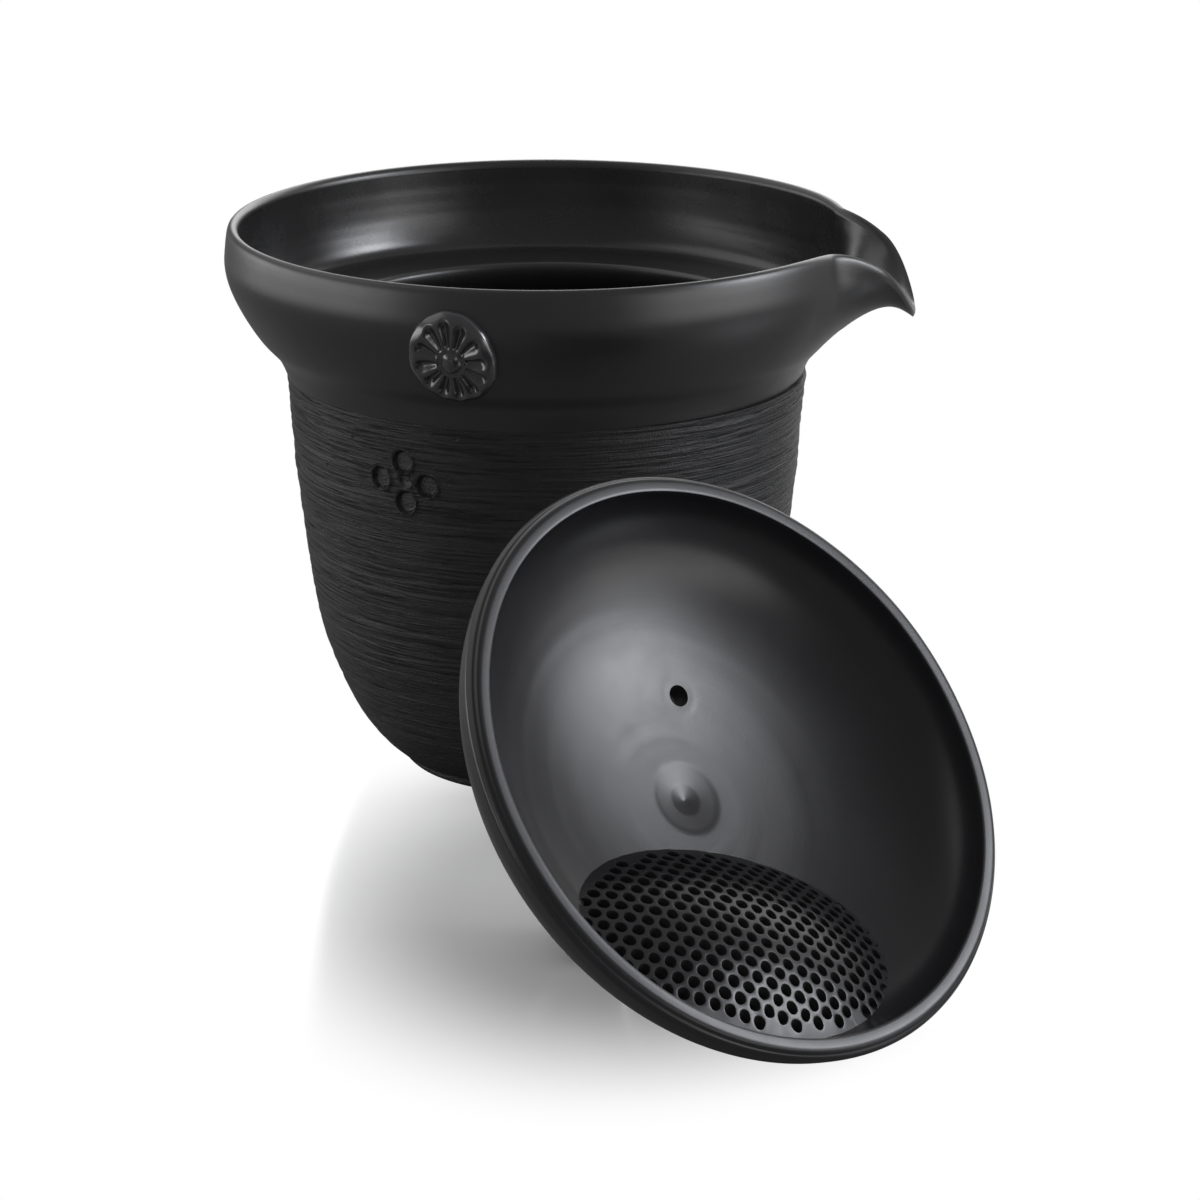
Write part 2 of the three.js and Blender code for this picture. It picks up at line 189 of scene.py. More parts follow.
GROUPS = {
    "teapot_pot": TeapotPotSizes,
    "teapot_collar": TeapotCollarSizes,
    "teapot_medallion": TeapotMedallionSizes,
    "teapot_lid": TeapotLidSizes,
    "teapot_strainer": TeapotStrainerSizes,
    "teapot_finishes": TeapotFinishes,
    "teapot_stage": TeapotStage,
}


def values(context, group):
    """One group's values by name, with lengths in millimetres and angles in radians."""
    source = getattr(context.scene, group)
    found = types.SimpleNamespace()
    for key, rule in source.bl_rna.properties.items():
        if key in ("rna_type", "name"):
            continue
        value = getattr(source, key)
        setattr(found, key, value / MM if getattr(rule, "unit", "") == "LENGTH" else value)
    return found


# Node trees, written as expressions

class Field:
    """A node's output, on which ordinary arithmetic adds Math nodes."""

    def __init__(self, tree, socket):
        self.tree = tree
        self.socket = socket

    def math(self, operation, *others, first=True):
        order = (self, *others) if first else (*others, self)
        return self.tree.add("ShaderNodeMath", {"operation": operation}, dict(enumerate(order)))

    def __add__(self, other):
        return self.math("ADD", other)

    __radd__ = __add__

    def __sub__(self, other):
        return self.math("SUBTRACT", other)

    def __rsub__(self, other):
        return self.math("SUBTRACT", other, first=False)

    def __mul__(self, other):
        return self.math("MULTIPLY", other)

    __rmul__ = __mul__

    def __truediv__(self, other):
        return self.math("DIVIDE", other)

    def __pow__(self, other):
        return self.math("POWER", other)

    def __gt__(self, other):
        return self.math("GREATER_THAN", other)

    def smooth(self, low, high):
        """0 below low, 1 above high, and eased between them."""
        inputs = {0: self, 1: low, 2: high}
        return self.tree.add("ShaderNodeMapRange", {"interpolation_type": "SMOOTHSTEP"}, inputs)

    def out(self, name):
        return Field(self.tree, self.socket.node.outputs[name])

    def parts(self):
        return [self.tree.add("ShaderNodeSeparateXYZ", {}, {0: self}).out(axis) for axis in "XYZ"]


class Tree:
    """A node tree, with one method that adds a node and gives its first output."""

    def __init__(self, tree):
        self.tree = tree

    def add(self, kind, settings, inputs, output=0):
        node = self.tree.nodes.new(kind)
        for key, value in settings.items():
            setattr(node, key, value)
        for key, value in inputs.items():
            if isinstance(value, Field):
                self.tree.links.new(value.socket, node.inputs[key])
            else:
                node.inputs[key].default_value = value
        return Field(self, node.outputs[output])

    def end(self, kind, field):
        """Adds an output node and links the field to it."""
        self.tree.links.new(field.socket, self.tree.nodes.new(kind).inputs[0])

    def vector(self, x, y, z):
        return self.add("ShaderNodeCombineXYZ", {}, {0: x, 1: y, 2: z})

    def blend(self, share, first, second):
        """Goes from the first colour to the second."""
        return self.add("ShaderNodeMix", {"data_type": "RGBA"}, {0: share, 6: first, 7: second}, 2)

    def noise(self, vector, scale, detail=2.0, roughness=0.5):
        inputs = {"Vector": vector, "Scale": scale, "Detail": detail, "Roughness": roughness}
        return self.add("ShaderNodeTexNoise", {}, inputs)

    def stretched(self, vector, x, y, z):
        return self.add("ShaderNodeVectorMath", {"operation": "MULTIPLY"}, {0: vector, 1: (x, y, z)})

    def join(self, fields):
        """Puts several shapes together."""
        node = self.tree.nodes.new("GeometryNodeJoinGeometry")
        for field in fields:
            self.tree.links.new(field.socket, node.inputs[0])
        return Field(self, node.outputs[0])

    def attribute(self, name):
        return self.add("ShaderNodeAttribute", {"attribute_name": name}, {}, 2)

    def bump(self, height, depth):
        return self.add("ShaderNodeBump", {}, {"Height": height, "Distance": depth, "Strength": 1.0})

    def store(self, shape, name, value):
        """Keeps a value at each point of the shape under a name."""
        settings = {"data_type": "FLOAT", "domain": "POINT"}
        inputs = {"Geometry": shape, "Name": name, "Value": value}
        return self.add("GeometryNodeStoreNamedAttribute", settings, inputs)

    def stored(self, name):
        return self.add("GeometryNodeInputNamedAttribute", {"data_type": "FLOAT"}, {"Name": name})


def shape_tree(name, inputs):
    """A new tree of shape nodes whose first input is the source mesh, and its inputs by name."""
    group = bpy.data.node_groups.new(name, "GeometryNodeTree")
    group.interface.new_socket(name="Source", in_out="INPUT", socket_type="NodeSocketGeometry")
    for label, kind in inputs.items():
        group.interface.new_socket(name=label, in_out="INPUT", socket_type="NodeSocket" + kind)
    group.interface.new_socket(name="Shape", in_out="OUTPUT", socket_type="NodeSocketGeometry")
    tree = Tree(group)
    entry = tree.add("NodeGroupInput", {}, {})
    return tree, {name: entry.out(name) for name in ("Source", *inputs)}


def end_shape(tree, shape, material):
    """Ends a tree of shape nodes: doubles merged, smooth, real faces, in one material."""
    merged = tree.add("GeometryNodeMergeByDistance", {}, {"Geometry": shape, "Distance": 0.002 * MM})
    smooth = tree.add("GeometryNodeSetShadeSmooth", {}, {"Geometry": merged, "Shade Smooth": True})
    real = tree.add("GeometryNodeRealizeInstances", {}, {"Geometry": smooth})
    finished = tree.add("GeometryNodeSetMaterial", {}, {"Geometry": real, "Material": material})
    tree.end("NodeGroupOutput", finished)
    return tree.tree


def turned_tree():
    """Turns a profile, drawn as the points (radius, 0, height) of the source mesh, about Z."""
    inputs = {"Segments": "Int", "Crowding": "Float", "Crowded Around": "Float", "Material": "Material"}
    tree, ask = shape_tree("Turned clay form", inputs)
    count = tree.add("GeometryNodeAttributeDomainSize", {}, {"Geometry": ask["Source"]})
    sizes = {"Vertices X": ask["Segments"] + 1, "Vertices Y": count}
    grid = tree.add("GeometryNodeMeshGrid", {}, sizes)
    index = tree.add("GeometryNodeInputIndex", {}, {})
    row = index.math("MODULO", count)
    turn = (index / count).math("FLOOR") / ask["Segments"] * TAU
    around = turn - ask["Crowding"] * (turn - ask["Crowded Around"]).math("SINE")
    position = tree.add("GeometryNodeInputPosition", {}, {})
    settings = {"data_type": "FLOAT_VECTOR", "domain": "POINT"}
    sampled = {"Geometry": ask["Source"], "Value": position, "Index": row}
    on_profile = tree.add("GeometryNodeSampleIndex", settings, sampled)
    radius, _, height = on_profile.parts()
    place = tree.vector(radius * around.math("COSINE"), radius * around.math("SINE"), height)
    marked = tree.store(grid, "row", row)
    shape = tree.add("GeometryNodeSetPosition", {}, {"Geometry": marked, "Position": place})
    return end_shape(tree, shape, ask["Material"])


def pierced_tree():
    """Repeats the source cell on a hexagonal lattice that fills a slanted plane across the lid's dish."""
    inputs = {
        "Pitch": "Float", "Rows Angle": "Float", "Half Count": "Int", "Bulge": "Float", "Half Width": "Float",
        "Half Length": "Float", "Tilt": "Float", "Distance": "Float", "Centre": "Float", "Mouth": "Float",
        "Depth": "Float", "Power": "Float", "Uneven": "Float", "Seed": "Float", "Off Middle": "Float",
        "Holes Across": "Float", "Holes Along": "Float", "Cell Points": "Int", "Material": "Material",
    }
    tree, ask = shape_tree("Pierced plate", inputs)
    count = ask["Half Count"] * 2 + 1
    grid = tree.add("GeometryNodeMeshGrid", {}, {"Vertices X": count, "Vertices Y": count})
    index = tree.add("GeometryNodeInputIndex", {}, {})
    row = index.math("MODULO", count) - ask["Half Count"]
    column = (index / count).math("FLOOR") - ask["Half Count"]
    skew = (row / 2).math("FLOOR")
    along = (column - skew + row / 2) * ask["Pitch"]
    across = row * ask["Pitch"] * math.sqrt(0.75)
    sine, cosine = ask["Rows Angle"].math("SINE"), ask["Rows Angle"].math("COSINE")
    x = along * sine + across * cosine
    y = across * sine - along * cosine
    plane = ask["Tilt"].math("COSINE"), ask["Tilt"].math("SINE")
    lid_x = (x + ask["Centre"]) * plane[0] - ask["Distance"] * plane[1]
    lid_z = -1 * ((x + ask["Centre"]) * plane[1] + ask["Distance"] * plane[0])
    reach = (lid_x * lid_x + y * y) ** 0.5 / ask["Mouth"]
    floor = (1 - reach.math("MINIMUM", 1.0) ** ask["Power"]) ** (ask["Power"] ** -1)
    inside = (lid_z + floor * ask["Depth"]) > 0.0
    marked = tree.store(grid, "kept", inside * (1 - (reach > 0.999)))
    across_share = (x - ask["Off Middle"]) / ask["Holes Across"]
    along_share = y / ask["Holes Along"]
    marked = tree.store(marked, "pierced", 1 - ((across_share**2 + along_share**2) > 1.0))
    spot = tree.vector(x, y, 0.0)
    placed = tree.add("GeometryNodeSetPosition", {}, {"Geometry": marked, "Position": spot})
    kept = tree.stored("kept") > 0.5
    spots = tree.add("GeometryNodeMeshToPoints", {}, {"Mesh": placed, "Selection": kept})
    has_hole = tree.stored("pierced") > 0.5
    first = {"Geometry": ask["Source"], "Selection": ask["Cell Points"] > index}
    cell = tree.add("GeometryNodeSeparateGeometry", {"domain": "POINT"}, first)
    rotation = tree.vector(0.0, 0.0, ask["Rows Angle"] - TAU / 4)
    cells = [
        tree.add("GeometryNodeInstanceOnPoints", {}, {
            "Points": spots, "Instance": shape, "Selection": chosen, "Rotation": rotation,
        })
        for shape, chosen in ((cell, has_hole), (cell.out("Inverted"), 1 - has_hole))
    ]
    real = tree.add("GeometryNodeRealizeInstances", {}, {"Geometry": tree.join(cells)})
    px, py, pz = tree.add("GeometryNodeInputPosition", {}, {}).parts()
    spread = (px / ask["Half Width"]) ** 2 + (py / ask["Half Length"]) ** 2
    bulged = tree.vector(px, py, pz + ask["Bulge"] * (1 - spread))
    waves = {"W": ask["Seed"], "Vector": tree.vector(px, py, 0.0), "Scale": 0.45 / MM, "Detail": 1.0}
    wander = tree.add("ShaderNodeTexNoise", {"noise_dimensions": "4D"}, waves, 1)
    wander = tree.add("ShaderNodeVectorMath", {"operation": "SUBTRACT"}, {0: wander, 1: (0.5, 0.5, 0.5)})
    stray_x, stray_y, _ = wander.parts()
    stray = tree.vector(stray_x * ask["Uneven"] * 4, stray_y * ask["Uneven"] * 4, 0.0)
    shape = tree.add("GeometryNodeSetPosition", {}, {"Geometry": real, "Position": bulged, "Offset": stray})
    return end_shape(tree, shape, ask["Material"])


def petal_tree():
    """Repeats the source petal in a ring about Z."""
    tree, ask = shape_tree("Petal ring", {"Petals": "Int", "Material": "Material"})
    line = tree.add("GeometryNodeMeshLine", {}, {"Count": ask["Petals"], "Offset": (0.0, 0.0, 0.0)})
    index = tree.add("GeometryNodeInputIndex", {}, {})
    turn = tree.vector(0.0, 0.0, index / ask["Petals"] * TAU)
    inputs = {"Points": line, "Instance": ask["Source"], "Rotation": turn}
    ring = tree.add("GeometryNodeInstanceOnPoints", {}, inputs)
    real = tree.add("GeometryNodeRealizeInstances", {}, {"Geometry": ring})
    return end_shape(tree, real, ask["Material"])


def shader_tree(owner):
    """The emptied node tree of a material or a world."""
    owner.use_nodes = True
    owner.node_tree.nodes.clear()
    return Tree(owner.node_tree)


# Meshes

def new_piece(name, points, faces=()):
    """A new object at the origin, whose points are given in millimetres."""
    mesh = bpy.data.meshes.new(name)
    mesh.from_pydata((np.asarray(points, dtype=float) * MM).tolist(), [], faces)
    piece = bpy.data.objects.new(name, mesh)
    bpy.context.scene.collection.objects.link(piece)
    return piece


def settle(piece):
    """Turns what the piece's modifiers make into its plain mesh."""
    graph = bpy.context.evaluated_depsgraph_get()
    mesh = bpy.data.meshes.new_from_object(
        piece.evaluated_get(graph), preserve_all_data_layers=True, depsgraph=graph
    )
    raw = piece.data
    piece.modifiers.clear()
    piece.data = mesh
    bpy.data.meshes.remove(raw)
    mesh.name = piece.name
    if len(mesh.materials) > 1 and mesh.materials[0] is None:
        mesh.materials.pop(index=0)
    return piece


def shaped(piece, tree, inputs):
    """Runs a tree of shape nodes on the piece's mesh."""
    modifier = piece.modifiers.new("Shape", "NODES")
    modifier.node_group = tree
    for item in tree.interface.items_tree:
        if item.item_type == "SOCKET" and item.name in inputs:
            modifier[item.identifier] = inputs[item.name]
    return settle(piece)


def points_of(piece):
    """The piece's points in millimetres."""
    flat = np.empty(len(piece.data.vertices) * 3)
    piece.data.vertices.foreach_get("co", flat)
    return flat.reshape(-1, 3) / MM


def polar(points):
    """Each point's radius and azimuth."""
    return np.hypot(points[:, 0], points[:, 1]), np.arctan2(points[:, 1], points[:, 0])


def push_out(points, distance, azimuth):
    points[:, 0] += distance * np.cos(azimuth)
    points[:, 1] += distance * np.sin(azimuth)


def move_points(piece, points):
    piece.data.vertices.foreach_set("co", (points * MM).ravel())
    piece.data.update()


def rows_of(piece):
    """Which point of the turned profile each of the piece's points comes from."""
    mark = piece.data.attributes["row"]
    rows = np.empty(len(piece.data.vertices))
    mark.data.foreach_get("value", rows)
    piece.data.attributes.remove(mark)
    return np.rint(rows).astype(int)


def mark(piece, name, values):
    """Stores one value from 0 to 1 at each of the piece's points, for its material."""
    stored = piece.data.attributes.new(name, "FLOAT", "POINT")
    stored.data.foreach_set("value", np.clip(values, 0, 1).astype(np.float32))


def turned(name, profile, material, segments, crowding=0.0, around=0.0):
    """A form turned from a profile of (radius, height). Outer walls run upwards, inner ones downwards."""
    profile = np.asarray(profile, dtype=float)
    piece = new_piece(name, np.column_stack([profile[:, 0], np.zeros(len(profile)), profile[:, 1]]))
    inputs = {"Segments": segments, "Crowding": crowding, "Crowded Around": around, "Material": material}
    return shaped(piece, turned_tree(), inputs)


def place(piece, matrix):
    """Puts the piece's place into its mesh, and marks its sharp edges."""
    piece.data.transform(matrix)
    piece.data.set_sharp_from_angle(angle=math.radians(38))
    piece.data.update()
    return piece


def smooth_line(points, steps=400):
    """A smooth line through the given points."""
    known = np.array(points, dtype=float)
    last = len(known) - 1
    at = np.linspace(0, last, steps + 1)
    low = np.minimum(at.astype(int), last - 1)
    t = (at - low)[:, None]
    before, start, end, after = (known[np.clip(low + shift, 0, last)] for shift in (-1, 0, 1, 2))
    leave, arrive = (end - before) / 2, (after - start) / 2
    cubic = (2 * start - 2 * end + leave + arrive) * t**3
    return cubic + (3 * end - 3 * start - 2 * leave - arrive) * t**2 + leave * t + start


def evened(line, spacing):
    """The same line with its points at about this spacing."""
    line = np.asarray(line, dtype=float)
    along = np.concatenate([[0], np.cumsum(np.hypot(*np.diff(line, axis=0).T))])
    at = np.linspace(0, along[-1], max(2, round(along[-1] / spacing) + 1))
    return np.column_stack([np.interp(at, along, line[:, 0]), np.interp(at, along, line[:, 1])])


def ease(t):
    return t * t * (3 - 2 * t)


def between(value, low, high):
    """0 below low, 1 above high, and eased between them."""
    return ease(np.clip((value - low) / (high - low), 0, 1))


def patches(rng, rows, columns, height, turn):
    """Smooth random values from -1 to 1, in rows up a wall and in columns that close round it."""
    table = rng.uniform(-1, 1, (rows + 1, columns))
    row = np.clip(height, 0, 1) * rows
    column = turn % 1 * columns
    low = np.minimum(row.astype(int), rows - 1)
    left = column.astype(int) % columns
    right = (left + 1) % columns
    up, over = ease(row - low), ease(column - np.floor(column))
    lower = table[low, left] * (1 - over) + table[low, right] * over
    upper = table[low + 1, left] * (1 - over) + table[low + 1, right] * over
    return lower * (1 - up) + upper * up


# The pot

POT_PLACE = Matrix.Translation(Vector((POT_X, POT_Y, 0)) * MM)
STAMPS = ((-127.7, 55.9), (-121.6, 59.1), (-115.7, 55.7), (-121.3, 52.5))
STAMP_MIDDLE = (-121.1, 56.2)
GROOVES = ((0.48, 17, 0.07), (0.95, 9, 0.08), (2.1, 5, 0.05))
STRETCH = 0.45


def body_wall(pot):
    """The body's outer wall, from its base to the joint under the collar."""
    return [
        (pot.base_radius, pot.foot_height), (28.2, 5), (31.9, 10.3), (35.6, 19), (37.8, 27.4), (40.1, 44.4),
        (pot.shoulder_radius, 55), (pot.joint_radius, pot.joint_height),
    ]


def stamp_relief(pot, radius, azimuth, height):
    """Depth of the four stamped rings, and how far each point is on smooth stamped clay."""
    relief = np.zeros_like(height)
    stamped = np.zeros_like(height)
    marks = [(*mark, pot.stamp_radius, 1.0) for mark in STAMPS]
    marks.append((*STAMP_MIDDLE, pot.stamp_radius * 0.6, 0.5))
    for turn, middle, size, strength in marks:
        along = radius * (azimuth - math.radians(turn))
        across = height - middle
        off = np.hypot(along, across)
        bowl = 1 - between(off, size - 0.3, size + 0.06)
        burr = np.exp(-(((off - size - 0.24) / 0.2) ** 2)) * (1 + 0.5 * (along - across) / size)
        slope = 0.1 * (across - along) / size
        relief += strength * (0.24 * burr - bowl * (pot.stamp_depth + slope))
        stamped = np.maximum(stamped, 1 - between(off, size + 0.1, size + 0.6))
    return relief, stamped


def build_pot_body(context):
    pot = values(context, "teapot_pot")
    wall = evened(smooth_line(body_wall(pot)), 0.24)
    inside = evened(smooth_line(body_wall(pot)[2:]) - (pot.clay, 0), 2.0)[::-1]
    base = [(0, pot.foot_height), (8, pot.foot_height), (16, pot.foot_height), (24.4, pot.foot_height)]
    floor = [(26.4, 7.2), (24.5, pot.floor_height), (12, pot.floor_height), (0, pot.floor_height)]
    profile = [*base, *wall, *inside, *floor]
    middle = math.radians(STAMP_MIDDLE[0])
    piece = turned("pot_body_brushed", profile, clay_material("brushed"), 290, 0.78, middle)
    points, rows = points_of(piece), rows_of(piece)
    outside = (rows >= len(base)) & (rows < len(base) + len(wall))
    z = points[:, 2]
    radius, azimuth = polar(points)
    height = (z - pot.foot_height) / (pot.joint_height - pot.foot_height)
    rng = np.random.default_rng(11)
    span = pot.joint_height - pot.foot_height
    grooves = sum(
        depth * patches(rng, round(span / pitch), columns, height, azimuth / TAU)
        for pitch, columns, depth in GROOVES
    )
    fade = between(z, 2.2, 3.4) * between(-z, -pot.joint_height, 0.9 - pot.joint_height)
    strength = 0.55 + 0.45 * patches(rng, 9, 6, height, azimuth / TAU)
    strength = strength + 0.5 * between(z, 46, 62) * between(np.cos(azimuth + 0.3), 0, 1)
    relief, stamped = stamp_relief(pot, radius, azimuth, z)
    wide = STRETCH * between(np.cos(azimuth), 0, 1) * between(z, 10, 40)
    mark(piece, "smoothed", outside * stamped)
    out = outside * (wide + fade * strength * (1 - 0.85 * stamped) * (grooves - 0.03) * 1.6 + relief)
    push_out(points, out, azimuth)
    move_points(piece, points)
    return place(piece, POT_PLACE)


def build_foot_ring(context):
    pot = values(context, "teapot_pot")
    top = pot.foot_height - 0.01
    profile = smooth_corners([
        (pot.recess_radius, top), (pot.recess_radius + 0.6, 0.02), (pot.foot_radius - 0.7, 0.02),
        (pot.foot_radius - 0.1, 0.6), (pot.foot_radius, top), (pot.recess_radius, top),
    ], 0.25)
    piece = turned("foot_ring_trimmed", profile, clay_material("brushed"), 240)
    points = points_of(piece)
    radius, azimuth = polar(points)
    rng = np.random.default_rng(5)
    wear = 0.08 * patches(rng, 4, 23, points[:, 2] / pot.foot_height, azimuth / TAU)
    outer = between(radius, pot.foot_radius - 1.2, pot.foot_radius - 0.4)
    push_out(points, -outer * (0.1 + wear), azimuth)
    move_points(piece, points)
    return place(piece, POT_PLACE)


def smooth_corners(corners, radius, steps=4):
    """A closed outline whose corners are rounded by short arcs."""
    ring = np.array(corners[:-1], dtype=float)
    rounded = []
    for i, corner in enumerate(ring):
        before, after = ring[i - 1], ring[(i + 1) % len(ring)]
        start = corner + (before - corner) * min(radius / np.hypot(*(before - corner)), 0.5)
        end = corner + (after - corner) * min(radius / np.hypot(*(after - corner)), 0.5)
        for t in np.linspace(0, 1, steps):
            rounded.append(start * (1 - t) ** 2 + corner * 2 * t * (1 - t) + end * t * t)
    return [*rounded, rounded[0]]


def collar_wall(pot, collar):
    """The collar's outer wall, from the joint to its lip."""
    return [
        (pot.joint_radius, pot.joint_height + 0.01), (43.4, 69), (46.4, 72.4), (49, 76.4), (50.8, 80.2),
        (51.5, 83.4), (51.3, 86.6), (collar.rim_radius + 0.85, collar.rim_height - 1.2),
    ]


BEAK_SADDLE_SPREAD = 0.94
BEAK_LENGTH_POWER = 0.65
BEAK_WIDTH_POWER = 1.5
BEAK_DROP_POWER = 2.2
BEAK_SOFTNESS = 0.22
WALL_SOFTNESS = 0.5


def raw_rim(collar, turn):
    """The rim's path at an angle off the beak: round, dipping, then half of a superellipse."""
    half = collar.beak_half_angle
    part = np.abs(turn) / half
    saddle = collar.beak_saddle * np.exp(-((part / BEAK_SADDLE_SPREAD) ** 2))
    root, half_mouth = collar.rim_radius * math.cos(half), collar.rim_radius * math.sin(half)
    inner = np.minimum(part, 1) * TAU / 4
    out = np.maximum(np.cos(inner), 0)
    x = root + (collar.beak_reach - root) * out**BEAK_LENGTH_POWER
    y = np.sign(turn) * half_mouth * np.sin(inner) ** BEAK_WIDTH_POWER
    drop = (collar.beak_drop - collar.beak_saddle) * out**BEAK_DROP_POWER
    beak = np.stack([x, y, collar.rim_height - saddle - drop])
    round_rim = np.stack([
        collar.rim_radius * np.cos(turn), collar.rim_radius * np.sin(turn), collar.rim_height - saddle
    ])
    return np.where(part >= 1, round_rim, beak)


def rim_pull(collar, turn, softness):
    """How far the softened path is pulled away from the round rim."""
    steps = np.linspace(-1.22, 1.22, 31) * softness * collar.beak_half_angle
    soft = sum(raw_rim(collar, turn + step) for step in steps) / len(steps)
    x, y = collar.rim_radius * np.cos(turn), collar.rim_radius * np.sin(turn)
    return soft - np.stack([x, y, np.full_like(turn, collar.rim_height)])


def pull_beak(collar, radius, height, turn, outside):
    """Moves points of the round collar to their places on the collar with the beak."""
    span = collar.rim_height - collar.beak_root_height
    level = np.clip((height - collar.beak_root_height) / span, 0, 1)
    reach = level**1.2
    drop = np.where(outside, np.minimum(1.2 * level**1.8, 1.07), level**2.5)

    sharp = between(level, 0.25, 0.85)

    def centre(at):
        edge, wall = rim_pull(collar, at, BEAK_SOFTNESS), rim_pull(collar, at, WALL_SOFTNESS)
        shift = edge * sharp + wall * (1 - sharp)
        x = collar.rim_radius * np.cos(at) + reach * shift[0]
        y = collar.rim_radius * np.sin(at) + reach * shift[1]
        return x, y, shift[2]

    step = 0.01
    ahead, behind = centre(turn + step), centre(turn - step)
    along_x, along_y = ahead[0] - behind[0], ahead[1] - behind[1]
    size = np.hypot(along_x, along_y)
    x, y, fall = centre(turn)
    slim = 1 - 0.35 * level * np.exp(-((turn / collar.beak_half_angle / 0.8) ** 2))
    offset = (radius - collar.rim_radius) * np.where(np.abs(radius - collar.rim_radius) < 2, slim, 1)
    return np.column_stack([x + along_y / size * offset, y - along_x / size * offset, height + drop * fall])


def build_pouring_collar(context):
    pot, collar = values(context, "teapot_pot"), values(context, "teapot_collar")
    rim, top = collar.rim_radius, collar.rim_height
    wall = evened(smooth_line(collar_wall(pot, collar)), 0.5)
    lip = [(rim + 0.75, top - 0.8), (rim + 0.6, top - 0.42), (rim + 0.35, top - 0.12), (rim, top),
           (rim - 0.45, top - 0.1), (rim - 0.8, top - 0.38)]
    bowl = evened(smooth_line([
        (rim - 1.0, top - 0.9), (49.05, 85.4), (48.75, 82), (48.42, 80), (48.08, 78.5), (47.64, 77),
        (47.15, 76), (46.3, 75.2), (collar.seat_radius, collar.seat_height),
    ]), 0.4)
    throat, seat = collar.throat_radius, collar.seat_height
    ledge = evened([(collar.seat_radius, seat), (throat + 0.9, seat)], 1.5)[1:]
    edge = [(throat + 0.5, seat - 0.1), (throat + 0.16, seat - 0.35), (throat, seat - 0.8)]
    down = [
        (throat, seat - 2.6), (36.6, 70.4), (37.8, 67.6),
        (pot.joint_radius - pot.clay, pot.joint_height + 0.01),
    ]
    profile = [*wall, *lip, *bowl, *ledge, *edge, *down, wall[0]]
    material = clay_material("burnished", "collar")
    piece = turned("pouring_collar_burnished", profile, material, 384, 0.5, collar.beak_azimuth)
    points, rows = points_of(piece), rows_of(piece)
    radius, azimuth = polar(points)
    turn = (azimuth - collar.beak_azimuth + math.pi) % TAU - math.pi
    outside = rows < len(wall) + 3
    rng = np.random.default_rng(3)
    on_bowl = (rows > len(wall) + len(lip)) & (rows < len(wall) + len(lip) + len(bowl) - 1)
    rings = patches(rng, 12, 9, (points[:, 2] - seat) / (top - seat), turn / TAU)
    radius = radius + 0.012 * on_bowl * rings
    mark(piece, "smoothed", on_bowl)
    move_points(piece, pull_beak(collar, radius, points[:, 2], turn, outside))
    return place(piece, POT_PLACE @ Matrix.Rotation(collar.beak_azimuth, 4, "Z"))


# The medallion: one scooped petal, repeated in a ring and wrapped onto the collar

PETAL_COLUMNS = 18
BUTTON_SHARE = 0.215
PETAL_START = 0.3
PETAL_END = 0.87
BACK_RINGS = (0.6, 0.0)
MEDALLION_BACK = -0.15


def petal_height(r, u):
    """Height of the medallion's face at a share r of its radius and u across one petal."""
    button = 0.8 + 1.0 * np.sqrt(np.clip(1 - (r / BUTTON_SHARE) ** 2, 0, 1))
    q = np.clip((r - PETAL_START) / (PETAL_END - PETAL_START), 0, 1)
    deep = 0.35 + 0.85 * q**0.8
    off = np.hypot(u / 0.92, np.clip(q - 0.62, 0, 1) / 0.38)
    scoop = deep * (0.5 + 0.5 * np.cos(math.pi * np.clip(off, 0, 1))) * between(q, 0, 0.1)
    ridge = 1.15 + 0.55 * between(r, PETAL_START, 0.85)
    chamfer = 0.75 * np.clip((r - 0.78) / 0.2, 0, 1) ** 1.3
    face = np.where(r < BUTTON_SHARE, button, ridge - chamfer - scoop - 0.1 * (r < PETAL_START))
    edge = np.sqrt(np.clip(1 - np.clip((r - 0.93) / 0.07, 0, 1) ** 2, 0, 1))
    return face * edge + MEDALLION_BACK * (1 - edge)


